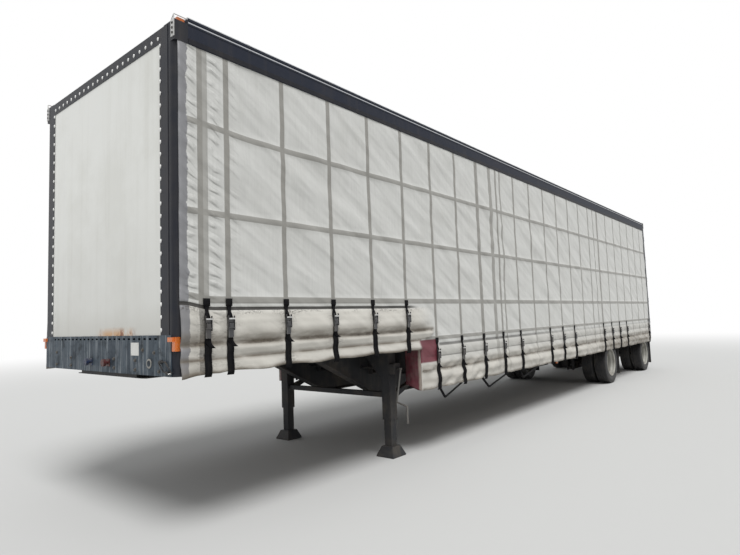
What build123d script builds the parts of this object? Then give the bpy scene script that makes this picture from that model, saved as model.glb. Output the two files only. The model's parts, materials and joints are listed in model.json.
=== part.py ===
from build123d import *
import math
import os

os.makedirs("parts", exist_ok=True)

# A single-drop curtain-side semi trailer, in millimetres.
# The origin is on the floor under the middle of the trailer. The front wall faces -Y,
# the trailer's left side is +X and up is +Z.

# Overall body
length = 14630.0
width = 2591.0
height = 4115.0
fitting_reach = 60.0

# Decks
upper_deck_top = 1524.0
lower_deck_top = 1067.0
floor_thickness = 35.0
step_setback = 3196.0
crossmember_depth = 76.0
crossmember_width = 50.0
crossmember_pitch = 600.0
crossmember_web = 8.0
side_rail_width = 46.0
side_rail_depth = 120.0
side_rail_wall = 6.0

# Main beams and coupler
beam_spacing = 960.0
beam_flange_width = 130.0
beam_flange = 14.0
beam_web = 10.0
beam_front_setback = 70.0
beam_rear_setback = 60.0
neck_drop_start = 2150.0
neck_drop_run = 1150.0
neck_bend_radius = 260.0
lower_beam_depth = 300.0
neck_tie_plate = 28.0
coupler_plate = 12.0
coupler_height = 1210.0
coupler_width = 1240.0
coupler_length = 1500.0
coupler_nose_rise = 50.0
kingpin_setback = 914.0
kingpin_collar_radius = 35.7
kingpin_collar_height = 19.0
kingpin_waist_radius = 25.4
kingpin_waist_height = 32.0
kingpin_shoulder_radius = 36.5
kingpin_shoulder_height = 33.0

# Front wall
panel_half_width = 1075.0
panel_bottom = 1575.0
panel_top_drop = 190.0
panel_thickness = 25.0
panel_lap = 30.0
post_width = 160.0
post_depth = 120.0
post_corner_radius = 62.0
post_bottom = 1260.0
flange_thickness = 4.0
bulkhead_half_width = 1232.0
bulkhead_thickness = 6.0
bulkhead_slot_count = 24
bulkhead_slot_pitch = 87.0
bulkhead_slot_drop = 28.0
bulkhead_slot_length = 42.0
bulkhead_slot_height = 15.0
frame_sill_depth = 60.0
front_header_drop = 70.0
front_ledge_drop = 60.0
front_upstand = 40.0
front_cap_plate = 20.0

# Roof and top rails
roof_thickness = 10.0
roof_side_margin = 8.0
rail_drop = 225.0
rail_skin = 4.0
rail_box_width = 80.0
rail_box_depth = 65.0
rail_inner_drop = 80.0
rail_wall = 6.0
rail_lip = 16.0
bow_width = 50.0
bow_depth = 38.0
bow_pitch = 914.0
side_post_width = 100.0
side_post_depth = 60.0
side_post_gap = 24.0
side_post_places = (2600.0, 5200.0, 8100.0, 11000.0)

# Curtains, their straps and the flap at the step
curtain_thickness = 3.0
curtain_inset = 6.0
curtain_front_gap = 26.0
curtain_slit = 0.4
curtain_rail_gap = 0.5
upper_hem = 1266.0
lower_hem = 771.0
strap_width = 46.0
strap_thickness = 2.5
strap_top_upper = 1850.0
strap_top_lower = 1383.0
strap_hem_gap = 30.0
buckle_width = 54.0
buckle_length = 150.0
buckle_thickness = 20.0
buckle_drop = 150.0
buckle_base = 3.0
buckle_lever_end = 14.0
buckle_lever_inset = 7.0
buckle_roller_radius = 6.0
buckle_roller_lead = 9.0
buckle_roller_inset = 10.0
web_pitch = 617.5
web_offset = -147.0
leading_strap_setback = 260.0
rear_strap_setback = 110.0
flap_width = 220.0
# Strap places by their number on the web grid. The gaps are straps that are missing.
upper_strap_numbers = (1, 2, 3, 4, 5)
lower_strap_numbers = (6, 7, 8, 9, 10, 12, 13, 14, 17, 18, 19, 20)

# Step
step_plate = 6.0

# Wheels and axles
tyre_diameter = 929.0
tyre_width = 255.0
tread_width = 206.0
tyre_shoulder_drop = 14.0
tyre_shoulder_bulge = 10.0
tyre_edge_drop = 5.0
tyre_crown_drop = 2.0
bead_radius = 286.0
bead_half_width = 107.0
bead_fit = 0.3
bead_lip = 2.0
rim_flange_radius = 306.0
rim_half_width = 120.0
rim_wall = 9.0
rim_bead_gap = 1.0
rim_seat_reach = 62.0
rim_well_depth = 24.0
rim_well_inner = 42.0
rim_well_outer = 28.0
disc_thickness = 11.0
disc_fit = 0.3
disc_flat_radius = 168.0
dish_step = 22.0
dish_flare = 26.0
dish_inner_flare = 20.0
dish_flat_ease = 4.0
dish_foot_back = 6.0
dish_foot_front = 14.0
dish_rim_lap = 2.0
hand_hole_count = 10
hand_hole_radius = 27.0
hand_hole_circle = 214.0
dual_spacing = 287.0
dual_track = 1969.0
drum_radius = 215.0
drum_wall = 15.0
drum_length = 215.0
drum_shoulder = 70.0
hub_barrel_radius = 72.0
hub_barrel_back = 105.0
hub_flange = 14.0
hub_pilot_gap = 2.0
hub_cap_radius = 66.0
hub_cap_reach = 120.0
hub_cap_length = 26.0
hub_cap_bevel = 6.0
hub_cap_face_inset = 18.0
hub_barrel_taper = 4.0
spindle_radius = 40.0
spindle_reach = 86.0
spindle_running_gap = 0.05
spindle_end_gap = 6.0
axle_tube_radius = 63.5
axle_end_gap = 16.0
axle_spread = 3073.0
rear_axle_setback = 640.0

# Suspension and brakes
arm_width = 90.0
arm_depth = 70.0
arm_front_reach = 480.0
arm_rear_reach = 470.0
arm_seat_reach = 90.0
hanger_plate = 12.0
hanger_gap = 6.0
hanger_length = 220.0
hanger_below_pivot = 50.0
pivot_radius = 20.0
pivot_fit = 0.3
air_spring_radius = 125.0
air_spring_waist = 96.0
air_spring_place = 350.0
chamber_radius = 84.0
chamber_length = 190.0
chamber_side = 310.0
chamber_lead = 150.0
chamber_bracket = 14.0
camshaft_radius = 18.0
camshaft_lead = 110.0
camshaft_inner_lap = 40.0
camshaft_stay_near = 10.0
camshaft_stay_far = 24.0
camshaft_stay_half = 30.0
chamber_bracket_half = 50.0
chamber_bracket_rise = 60.0
chamber_web_half = 8.0
chamber_band_half = 8.0
chamber_band_rise = 7.0
arm_seat_gap = 10.0
pivot_bolt_reach = 12.0

# Landing gear
leg_side = 920.0
leg_setback = 3030.0
leg_tube = 127.0
leg_inner_tube = 104.0
leg_tube_bottom = 430.0
foot_length = 254.0
foot_top_width = 160.0
foot_plate = 14.0
foot_height = 120.0
wing_plate = 10.0
wing_depth = 150.0
brace_bar = 60.0
brace_height = 720.0
gearbox_height = 1040.0
gearbox_width = 70.0
gearbox_size = 130.0
gearbox_corner_radius = 18.0
cross_shaft_radius = 13.0
cross_shaft_hole = 26.0
crank_stub = 45.0
crank_radius = 11.0
crank_socket_wall = 3.0
crank_clear_width = 60.0
crank_clear_height = 80.0
crank_drop = 400.0
crank_lean = 75.0
crank_throw = 150.0
crank_handle = 190.0

# Rear frame and doors
rear_post_width = 58.0
rear_post_depth = 120.0
rear_header_depth = 180.0
rear_sill_depth = 160.0
door_thickness = 45.0
door_gap = 8.0
hinge_count = 5
hinge_end = 260.0
hinge_pin_radius = 10.0
hinge_pin_fit = 0.06
hinge_eye_radius = 17.0
hinge_stand_off = 30.0
hinge_pin_inset = 20.0
hinge_strap_length = 260.0
hinge_strap_height = 60.0
hinge_strap_thickness = 8.0
hinge_lug_height = 26.0
hinge_lug_gap = 1.0
hinge_lug_thickness = 26.0
hinge_blade_gap = 1.0
lock_rod_radius = 13.5
lock_rod_stand_off = 26.0
lock_handle_length = 380.0
lock_handle_width = 32.0
lock_handle_thickness = 14.0
lock_guide_height = 50.0
lock_guide_width = 60.0
lock_guide_lap = 4.0
lock_cam_height = 30.0
lock_cam_half = 22.0
lock_catch_inset = 50.0
lock_catch_half = 20.0
# Where the guides stand, as shares of a lock rod's length
lock_guide_shares = (0.03, 0.3, 0.68, 0.97)
lock_end_gap = 20.0
keeper_height = 70.0
keeper_half = 30.0
keeper_depth = 34.0
keeper_gap = 10.0
# Each lock rod: its place from the middle, its handle's height and the way the handle points
lock_rod_table = (
    (330.0, 1500.0, 1),
    (880.0, 1400.0, -1),
)
guard_tube = 100.0
guard_top = 560.0
guard_half_width = 1180.0
guard_post = 80.0

# Mud flaps
flap_lead = 500.0
mud_flap_thickness = 8.0
mud_flap_width = 590.0
mud_flap_bottom = 170.0
flap_hanger = 40.0

# Lamps and gladhands
lamp_width = 64.0
lamp_height = 34.0
lamp_depth = 18.0
front_lamp_side = 1240.0
front_lamp_height = 1525.0
post_lamp_low = 1452.0
post_lamp_height = 108.0
post_lamp_width = 42.0
post_lamp_back = 40.0
post_lamp_inset = 2.0
roof_lamp_setback = 65.0
roof_lamp_inset = 50.0
side_lamp_setback = 7530.0
side_lamp_drop = 4.0
side_lamp_stay = 6.0
rear_lamp_radius = 48.0
rear_lamp_pitch = 115.0
rear_lamp_side = 985.0
rear_lamp_drop = 30.0
rear_lamp_count = 3
gladhand_pitch = 350.0
gladhand_side = -160.0
gladhand_height = 1345.0
gladhand_radius = 32.0
gladhand_plate = 6.0
gladhand_head = 24.0
gladhand_neck_inset = 10.0
gladhand_count = 2
corner_plate_height = 140.0
corner_plate_width = 46.0
corner_plate = 6.0
corner_guard_reach = 150.0
corner_guard_bar = 10.0
corner_wire_radius = 4.0

# Places worked out from the sizes above
y_front = -length / 2
y_rear = length / 2
half_width = width / 2
y_step = y_front + step_setback
roof_top = height
rail_top = height - roof_thickness
rail_bottom = height - rail_drop
panel_top = height - panel_top_drop
front_header_top = height - front_header_drop
front_ledge_top = height - front_ledge_drop
upper_floor_bottom = upper_deck_top - floor_thickness
lower_floor_bottom = lower_deck_top - floor_thickness
neck_top = upper_floor_bottom - crossmember_depth
lower_beam_top = lower_floor_bottom - crossmember_depth
neck_bottom = coupler_height + coupler_plate
lower_beam_bottom = lower_beam_top - lower_beam_depth
beam_side = beam_spacing / 2
rail_outer = half_width - curtain_inset - curtain_thickness - curtain_rail_gap
floor_half_width = rail_outer - side_rail_width
curtain_outer = half_width - curtain_inset
curtain_inner = curtain_outer - curtain_thickness
lower_rail_bottom = lower_deck_top - side_rail_depth
y_post_back = y_front + post_depth
y_rear_post = y_rear - rear_post_depth
y_curtain_front = y_front + curtain_front_gap
y_kingpin = y_front + kingpin_setback
y_leg = y_front + leg_setback
tyre_radius = tyre_diameter / 2
axle_height = tyre_radius
y_rear_axle = y_rear - rear_axle_setback
y_front_axle = y_rear_axle - axle_spread
axle_places = (y_front_axle, y_rear_axle)
track_side = dual_track / 2
hub_pilot_radius = hub_barrel_radius + hub_pilot_gap
arm_top = axle_height - axle_tube_radius
arm_bottom = arm_top - arm_depth
pivot_height = arm_bottom + arm_depth / 2
door_bottom = lower_deck_top + door_gap
door_top = rail_top - rear_header_depth - door_gap
x_pin = half_width - hinge_pin_inset
y_pin = y_rear + hinge_stand_off
flap_hanger_top = lower_beam_top - beam_flange
bulkhead_face = y_front - bulkhead_thickness


def box_between(x_low, x_high, y_low, y_high, z_low, z_high):
    """Return a box from its low and high corners."""
    size = Box(x_high - x_low, y_high - y_low, z_high - z_low)
    return Pos((x_low + x_high) / 2, (y_low + y_high) / 2, (z_low + z_high) / 2) * size


def outline_x(points, x_low, x_high):
    """Return a prism along X of a closed outline of (y, z) points."""
    face = make_face(Polyline(*points, close=True))
    return extrude(Plane.YZ.offset(x_low) * face, x_high - x_low)


def outline_y(points, y_low, y_high):
    """Return a prism along Y of a closed outline of (x, z) points."""
    face = make_face(Polyline(*points, close=True))
    plane = Plane(origin=(0, y_high, 0), x_dir=(1, 0, 0), z_dir=(0, -1, 0))
    return extrude(plane * face, y_high - y_low)


def rod_x(x_low, x_high, y, z, radius):
    """Return a round rod along X."""
    return Pos((x_low + x_high) / 2, y, z) * Rot(0, 90, 0) * Cylinder(radius, x_high - x_low)


def rod_y(x, y_low, y_high, z, radius):
    """Return a round rod along Y."""
    return Pos(x, (y_low + y_high) / 2, z) * Rot(90, 0, 0) * Cylinder(radius, y_high - y_low)


def rod_z(x, y, z_low, z_high, radius):
    """Return a round rod along Z."""
    return Pos(x, y, (z_low + z_high) / 2) * Cylinder(radius, z_high - z_low)


def rod_between(start, end, radius):
    """Return a round rod from one point to another, with a ball at its far end."""
    run = Vector(*end) - Vector(*start)
    rod = Plane(origin=start, z_dir=run) * Cylinder(
        radius, run.length, align=(Align.CENTER, Align.CENTER, Align.MIN)
    )
    return rod + Pos(*end) * Sphere(radius)


def turned(points):
    """Return a ring turned about the X axis from (x, radius) points."""
    return revolve(make_face(Polyline(*points, close=True)), Axis.X, 360)


def both_sides(shape):
    """Return a shape and its mirror image on the other side of the trailer."""
    return [shape, mirror(shape, about=Plane.YZ)]


def spread_places(low, high, pitch):
    """Return evenly spaced places from low to high, at most a pitch apart."""
    count = max(1, math.ceil((high - low) / pitch))
    return [low + (high - low) * index / count for index in range(count + 1)]


def save(node, shapes):
    """Write one node's solids to its STEP file."""
    solids = [solid for shape in shapes for solid in shape.solids()]
    export_step(Compound(solids), f"parts/{node}.step")


# Decks and cross-members


def deck_floors():
    """Return the floors of the upper and the lower deck."""
    upper = box_between(
        -floor_half_width,
        floor_half_width,
        y_post_back,
        y_step,
        upper_floor_bottom,
        upper_deck_top,
    )
    lower = box_between(
        -floor_half_width,
        floor_half_width,
        y_step + step_plate,
        y_rear_post,
        lower_floor_bottom,
        lower_deck_top,
    )
    return [upper, lower]


def crossmember(y, floor_bottom):
    """Return one cross-member of I section between the side rails."""
    half = floor_half_width
    low = floor_bottom - crossmember_depth
    full = box_between(
        -half, half, y - crossmember_width / 2, y + crossmember_width / 2, low, floor_bottom
    )
    cut_depth = (crossmember_width - crossmember_web) / 2
    front_cut = box_between(
        -half,
        half,
        y - crossmember_width / 2,
        y - crossmember_width / 2 + cut_depth,
        low + crossmember_web,
        floor_bottom - crossmember_web,
    )
    rear_cut = Pos(0, crossmember_web + cut_depth, 0) * front_cut
    return full - front_cut - rear_cut


def upper_member_places():
    """Return where the upper deck's cross-members stand."""
    return spread_places(y_post_back + crossmember_width, y_step - crossmember_width, crossmember_pitch)


def lower_member_places():
    """Return where the lower deck's cross-members stand."""
    return spread_places(y_step + crossmember_width, y_rear_post - crossmember_width, crossmember_pitch)


def crossmembers():
    """Return the cross-members of both decks."""
    upper = [crossmember(y, upper_floor_bottom) for y in upper_member_places()]
    lower = [crossmember(y, lower_floor_bottom) for y in lower_member_places()]
    return upper + lower


def side_rail(y_low, y_high, deck_top):
    """Return a channel that closes a deck's edge on the left side."""
    inner = floor_half_width
    full = box_between(inner, rail_outer, y_low, y_high, deck_top - side_rail_depth, deck_top)
    hollow = box_between(
        inner,
        rail_outer - side_rail_wall,
        y_low,
        y_high,
        deck_top - side_rail_depth + side_rail_wall,
        deck_top - side_rail_wall,
    )
    return full - hollow


def side_rails():
    """Return the side rails of both decks, left and right."""
    upper = side_rail(y_post_back, y_step, upper_deck_top)
    lower = side_rail(y_step + step_plate, y_rear_post, lower_deck_top)
    stay = box_between(
        rail_outer - lamp_depth - side_lamp_stay,
        rail_outer - lamp_depth,
        y_front + side_lamp_setback - lamp_width / 2,
        y_front + side_lamp_setback + lamp_width / 2,
        lower_hem - side_lamp_drop - lamp_height,
        lower_rail_bottom,
    )
    return both_sides(upper) + both_sides(lower + stay)


def step_bulkhead():
    """Return the upright plate between the two decks."""
    plate = box_between(
        -rail_outer, rail_outer, y_step, y_step + step_plate, lower_floor_bottom, upper_deck_top
    )
    return [plate]


# Main beams and coupler


def main_beams():
    """Return the two gooseneck beams, I sections with the drop behind the neck."""
    y_low = y_front + beam_front_setback
    y_high = y_rear_post - beam_rear_setback
    y_bend = y_front + neck_drop_start
    outline = Polyline(
        (y_low, neck_bottom),
        (y_low, neck_top),
        (y_step, neck_top),
        (y_step, lower_beam_top),
        (y_high, lower_beam_top),
        (y_high, lower_beam_bottom),
        (y_bend + neck_drop_run, lower_beam_bottom),
        (y_bend, neck_bottom),
        close=True,
    )
    face = make_face(outline)
    bends = face.vertices().filter_by(
        lambda corner: corner.X in (y_bend, y_bend + neck_drop_run) and corner.Y < neck_top
    )
    face = fillet(bends, neck_bend_radius)
    pocket_face = offset(face, amount=-beam_flange, kind=Kind.INTERSECTION)
    plane = Plane.YZ.offset(beam_side - beam_flange_width / 2)
    full = extrude(plane * face, beam_flange_width)
    pocket_depth = (beam_flange_width - beam_web) / 2
    inner_pocket = extrude(plane * pocket_face, pocket_depth)
    outer_pocket = Pos(pocket_depth + beam_web, 0, 0) * inner_pocket
    shaft_hole = rod_x(0, 2 * beam_side, y_leg, gearbox_height, cross_shaft_hole)
    return both_sides(full - inner_pocket - outer_pocket - shaft_hole)


def coupler():
    """Return the upper coupler plate, with its nose turned up."""
    y_low = y_front + beam_front_setback
    y_nose = y_low + coupler_nose_rise
    y_high = y_low + coupler_length
    points = [
        (y_nose, coupler_height),
        (y_high, coupler_height),
        (y_high, neck_bottom),
        (y_low, neck_bottom),
        (y_low, coupler_height + coupler_plate / 2),
    ]
    plate = outline_x(points, -coupler_width / 2, coupler_width / 2)
    kingpin_seat = rod_z(0, y_kingpin, coupler_height, neck_bottom, kingpin_shoulder_radius)
    return [plate - kingpin_seat]


def kingpin():
    """Return the kingpin: shoulder, waist and lower collar."""
    top = neck_bottom
    shoulder_low = coupler_height - kingpin_shoulder_height
    waist_low = shoulder_low - kingpin_waist_height
    collar_low = waist_low - kingpin_collar_height
    shoulder = rod_z(0, y_kingpin, shoulder_low, top, kingpin_shoulder_radius)
    waist = rod_z(0, y_kingpin, waist_low, shoulder_low, kingpin_waist_radius)
    collar = rod_z(0, y_kingpin, collar_low, waist_low, kingpin_collar_radius)
    return [shoulder + waist + collar]


def neck_crossbeam():
    """Return the plate that ties the neck beams together at the front."""
    half = beam_side - beam_flange_width / 2
    y_low = y_front + beam_front_setback
    return [box_between(-half, half, y_low, y_low + neck_tie_plate, neck_bottom, neck_top - beam_flange)]


# Front wall


def front_panel():
    """Return the white sheet of the front wall, lapped behind its frame."""
    half = panel_half_width + panel_lap
    panel = box_between(
        -half,
        half,
        y_front,
        y_front + panel_thickness,
        panel_bottom,
        panel_top + panel_lap,
    )
    return [panel]


def front_frame():
    """Return the corner posts, header and riveted flange as one welded frame."""
    inner = half_width - post_width
    header_low = panel_top + panel_lap
    post = box_between(inner, rail_outer, y_front, y_post_back, post_bottom, front_ledge_top)
    corner = post.edges().filter_by(Axis.Z).sort_by(Axis.X)[-2:].sort_by(Axis.Y)[0]
    post = fillet(corner, post_corner_radius)
    post_back = box_between(
        inner + rail_wall,
        rail_outer - rail_wall,
        y_front + post_depth / 2,
        y_post_back,
        post_bottom,
        header_low,
    )
    cap_face = box_between(
        inner, half_width, y_front, y_front + front_cap_plate, rail_bottom, front_ledge_top
    )
    cap_skin = box_between(
        half_width - rail_skin, half_width, y_front, y_post_back, rail_bottom, front_ledge_top
    )
    cap_top = box_between(
        inner, half_width, y_front, y_post_back, rail_top - rail_box_depth, front_ledge_top
    )
    posts = both_sides(post - post_back + cap_face + cap_skin + cap_top)
    header = box_between(-inner, inner, y_front, y_post_back, header_low, front_header_top)
    upstand_half = half_width - rail_box_width
    upstand = box_between(
        -upstand_half, upstand_half, y_post_back - front_upstand, y_post_back, header_low, roof_top
    )
    frame = posts[0] + posts[1] + header + upstand
    flange_outer = inner + post_corner_radius
    flange = box_between(
        -flange_outer,
        flange_outer,
        y_front - flange_thickness,
        y_front,
        panel_bottom,
        front_header_top,
    )
    window = box_between(
        -panel_half_width,
        panel_half_width,
        y_front - flange_thickness,
        y_front,
        panel_bottom,
        panel_top,
    )
    return [frame + (flange - window)]


def front_bulkhead():
    """Return the lower steel plate of the front, with its row of slots and its sill."""
    plate = box_between(
        -bulkhead_half_width,
        bulkhead_half_width,
        bulkhead_face,
        y_front,
        post_bottom,
        panel_bottom,
    )
    slot_height = panel_bottom - bulkhead_slot_drop
    first = -(bulkhead_slot_count - 1) / 2 * bulkhead_slot_pitch
    for index in range(bulkhead_slot_count):
        x = first + index * bulkhead_slot_pitch
        plate -= box_between(
            x - bulkhead_slot_length / 2,
            x + bulkhead_slot_length / 2,
            bulkhead_face,
            y_front,
            slot_height - bulkhead_slot_height / 2,
            slot_height + bulkhead_slot_height / 2,
        )
    inner = half_width - post_width
    sill = box_between(
        -inner,
        inner,
        y_front,
        y_front + frame_sill_depth,
        post_bottom,
        slot_height - 2 * bulkhead_slot_height,
    )
    return [plate + sill]


# Roof and top rails


def top_rail():
    """Return the left top rail: a box with an outer skin and an inner flange."""
    box_low = rail_top - rail_box_depth
    box = box_between(
        half_width - rail_box_width, half_width, y_post_back, y_rear_post, box_low, rail_top
    )
    skin = box_between(
        half_width - rail_skin, half_width, y_post_back, y_rear_post, rail_bottom, box_low
    )
    lip = box_between(
        half_width,
        half_width + rail_skin,
        y_post_back,
        y_rear_post,
        rail_bottom,
        rail_bottom + rail_lip,
    )
    inner = box_between(
        half_width - rail_box_width,
        half_width - rail_box_width + rail_wall,
        y_post_back,
        y_rear_post,
        box_low - rail_inner_drop,
        box_low,
    )
    return box + skin + lip + inner


def roof():
    """Return the roof sheet."""
    half = half_width - roof_side_margin
    return [box_between(-half, half, y_post_back, y_rear, rail_top, roof_top)]


def roof_bows():
    """Return the bows that carry the roof between the top rails."""
    half = half_width - rail_box_width
    bows = []
    for y in spread_places(y_post_back + bow_pitch, y_rear_post - bow_pitch, bow_pitch):
        bows.append(
            box_between(
                -half, half, y - bow_width / 2, y + bow_width / 2, rail_top - bow_depth, rail_top
            )
        )
    return bows


def side_posts():
    """Return the posts inside the curtains that carry the top rails."""
    outer = curtain_inner - side_post_gap
    posts = []
    for setback in side_post_places:
        deck_top = upper_deck_top if setback < step_setback else lower_deck_top
        post = box_between(
            outer - side_post_depth,
            outer,
            y_front + setback - side_post_width / 2,
            y_front + setback + side_post_width / 2,
            deck_top,
            rail_top - rail_box_depth - rail_inner_drop,
        )
        posts += both_sides(post)
    return posts


def corner_guards():
    """Return the corner plates, with wire guards at the front and bars at the rear."""
    x_low = half_width - corner_plate_width
    plate_low = front_ledge_top - corner_plate_height
    front_plate = box_between(
        x_low, half_width, y_front - corner_plate, y_front, plate_low, front_ledge_top
    )
    ledge_wire = front_ledge_top - corner_wire_radius
    wire_side = half_width - 2 * corner_wire_radius
    wire_top = rail_top - 2 * corner_wire_radius
    apex = (wire_side, y_front, wire_top)
    stay = rod_z(wire_side, y_front, ledge_wire - corner_wire_radius, wire_top, corner_wire_radius)
    foot = (x_low + corner_wire_radius, y_front - corner_wire_radius, ledge_wire)
    slope = rod_between(foot, apex, corner_wire_radius)
    side_wire = rod_y(wire_side, y_front, y_post_back, wire_top, corner_wire_radius)
    wires = (stay + slope + side_wire) - box_between(
        x_low, half_width, y_front, y_post_back, plate_low, front_ledge_top
    )
    rear_plate = box_between(
        x_low, half_width, y_rear, y_rear + corner_plate, rail_top - corner_plate_height, roof_top
    )
    bar = box_between(
        half_width,
        half_width + corner_guard_bar,
        y_rear - corner_guard_reach,
        y_rear + corner_plate,
        roof_top - corner_guard_bar,
        roof_top,
    )
    leg = box_between(
        half_width,
        half_width + corner_guard_bar,
        y_rear,
        y_rear + corner_plate,
        rail_top - corner_plate_height,
        roof_top,
    )
    return both_sides(front_plate + wires) + both_sides(rear_plate + bar + leg)


# Curtains and straps


def curtain():
    """Return the left curtain: a deep lower part and a shorter part over the neck."""
    top = rail_top - rail_box_depth - curtain_slit
    front = box_between(
        curtain_inner, curtain_outer, y_curtain_front, y_step - curtain_slit, upper_hem, top
    )
    rear = box_between(curtain_inner, curtain_outer, y_step, y_rear_post, lower_hem, top)
    return [front, rear]


def step_flaps():
    """Return the front-facing returns of the curtains at the step."""
    flap = box_between(
        curtain_inner - flap_width,
        curtain_inner,
        y_step - curtain_thickness - curtain_slit,
        y_step - curtain_slit,
        lower_hem,
        upper_hem,
    )
    return both_sides(flap)


def web_place(number):
    """Return where a numbered upright web stands."""
    return y_front + web_offset + web_pitch * number


def strap_table():
    """Return each strap's place, top and curtain hem."""
    straps = [(y_front + leading_strap_setback, strap_top_upper, upper_hem)]
    straps += [(web_place(number), strap_top_upper, upper_hem) for number in upper_strap_numbers]
    straps += [(web_place(number), strap_top_lower, lower_hem) for number in lower_strap_numbers]
    straps += [(y_rear_post - rear_strap_setback, strap_top_lower, lower_hem)]
    return straps


def strap_webbing():
    """Return the webbing straps, flat on the outside of the curtains."""
    straps = []
    for y, top, hem in strap_table():
        strap = box_between(
            curtain_outer,
            curtain_outer + strap_thickness,
            y - strap_width / 2,
            y + strap_width / 2,
            hem - strap_hem_gap,
            top,
        )
        straps += both_sides(strap)
    return straps


def buckle(y, top):
    """Return one over-centre buckle: a base plate, a lever and its roller."""
    face = curtain_outer + strap_thickness
    middle = top - buckle_drop - buckle_length / 2
    half = buckle_width / 2
    low = middle - buckle_length / 2
    high = middle + buckle_length / 2
    base = box_between(face, face + buckle_base, y - half, y + half, low, high)
    lever = outline_y(
        [
            (face + buckle_base, low),
            (face + buckle_base, middle + buckle_length / 4),
            (face + buckle_thickness, middle + buckle_length / 8),
            (face + buckle_lever_end, low),
        ],
        y - half + buckle_lever_inset,
        y + half - buckle_lever_inset,
    )
    roller = rod_y(
        face + buckle_roller_lead, y - half, y + half, high - buckle_roller_inset, buckle_roller_radius
    )
    return base + lever + roller


def strap_buckles():
    """Return the buckles of all straps."""
    buckles = []
    for y, top, _ in strap_table():
        buckles += both_sides(buckle(y, top))
    return buckles


# Wheels, hubs and axles


def tyre(centre):
    """Return one tyre as a closed ring, by its centre along X."""
    half = tyre_width / 2
    tread_half = tread_width / 2
    shoulder_half = tread_half + tyre_shoulder_bulge
    shoulder = tyre_radius - tyre_shoulder_drop
    edge_half = tread_half + tyre_shoulder_bulge / 2
    edge_top = tyre_radius - tyre_edge_drop
    crown_edge = tyre_radius - tyre_crown_drop
    bore = bead_radius + bead_fit
    lip = rim_flange_radius + bead_lip
    bead = Polyline((-bead_half_width, lip), (-bead_half_width, bore), (bead_half_width, bore))
    bead_end = Line((bead_half_width, bore), (bead_half_width, lip))
    belly = (lip + shoulder) / 2
    side = ThreePointArc((bead_half_width, lip), (half, belly), (shoulder_half, shoulder))
    edge = ThreePointArc((shoulder_half, shoulder), (edge_half, edge_top), (tread_half, crown_edge))
    crown = ThreePointArc((tread_half, crown_edge), (0, tyre_radius), (-tread_half, crown_edge))
    other_edge = ThreePointArc((-tread_half, crown_edge), (-edge_half, edge_top), (-shoulder_half, shoulder))
    other_side = ThreePointArc((-shoulder_half, shoulder), (-half, belly), (-bead_half_width, lip))
    outline = Wire([*bead.edges(), bead_end, side, edge, crown, other_edge, other_side])
    ring = revolve(make_face(outline), Axis.X, 360)
    return Pos(centre, 0, 0) * ring


def wheel_disc(outward):
    """Return a disc wheel with its mounting face at x = 0 and its rim on the outward side."""
    centre = dual_spacing / 2
    flange = rim_flange_radius
    seat = bead_radius
    well = seat - rim_well_depth
    half = rim_half_width
    wall = rim_wall
    bead = bead_half_width + rim_bead_gap
    rim_points = [
        (centre - half, flange),
        (centre - bead, flange),
        (centre - bead, seat),
        (centre - rim_seat_reach, seat),
        (centre - rim_well_inner, well),
        (centre + rim_well_outer, well),
        (centre + rim_seat_reach, seat),
        (centre + bead, seat),
        (centre + bead, flange),
        (centre + half, flange),
        (centre + half, flange - wall),
        (centre + bead - wall / 2, seat - wall),
        (centre + rim_seat_reach + wall / 2, seat - wall),
        (centre + rim_well_outer + wall / 2, well - wall),
        (centre - rim_well_inner - wall / 2, well - wall),
        (centre - rim_seat_reach - wall / 2, seat - wall),
        (centre - bead + wall / 2, seat - wall),
        (centre - half, flange - wall),
    ]
    rim = turned(rim_points)
    face = disc_fit / 2
    thick = disc_thickness
    dish_x = centre - rim_well_inner
    dish_top = well - wall + dish_rim_lap
    dish_points = [
        (face, hub_pilot_radius),
        (face, disc_flat_radius),
        (face + dish_step, disc_flat_radius + dish_flare),
        (dish_x - dish_foot_back, dish_top),
        (dish_x + dish_foot_front, dish_top),
        (face + dish_step + thick, disc_flat_radius + dish_inner_flare),
        (face + thick, disc_flat_radius - dish_flat_ease),
        (face + thick, hub_pilot_radius),
    ]
    dish = turned(dish_points)
    for index in range(hand_hole_count):
        angle = 2 * math.pi * index / hand_hole_count
        hole = rod_x(
            face,
            dish_x + dish_foot_front + dish_foot_back,
            hand_hole_circle * math.cos(angle),
            hand_hole_circle * math.sin(angle),
            hand_hole_radius,
        )
        dish -= hole
    disc = rim + dish
    if outward:
        return disc
    return mirror(disc, about=Plane.YZ)


def hub_and_drum():
    """Return the hub barrel, its flange, the brake drum and the cap, as they turn together."""
    flange_face = -disc_fit / 2 - disc_thickness - disc_fit
    flange_back = flange_face - hub_flange
    shoulder = flange_face - drum_shoulder
    drum_back = flange_face - drum_length
    inner_radius = spindle_radius + spindle_running_gap
    barrel_back = -hub_barrel_back
    barrel_end = hub_cap_reach - hub_cap_length
    points = [
        (barrel_back, inner_radius),
        (barrel_back, hub_barrel_radius),
        (flange_back, hub_barrel_radius),
        (flange_back, disc_flat_radius - hub_flange),
        (shoulder - drum_wall, drum_radius - drum_wall),
        (drum_back, drum_radius - drum_wall),
        (drum_back, drum_radius),
        (shoulder, drum_radius),
        (flange_face, disc_flat_radius - hub_flange / 2),
        (flange_face, hub_barrel_radius),
        (barrel_end, hub_barrel_radius - hub_barrel_taper),
        (barrel_end, hub_cap_radius),
        (hub_cap_reach - hub_cap_bevel, hub_cap_radius - hub_cap_bevel),
        (hub_cap_reach, hub_cap_radius - hub_cap_face_inset),
        (hub_cap_reach, 0),
        (spindle_reach + spindle_end_gap, 0),
        (spindle_reach + spindle_end_gap, inner_radius),
    ]
    return turned(points)


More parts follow.
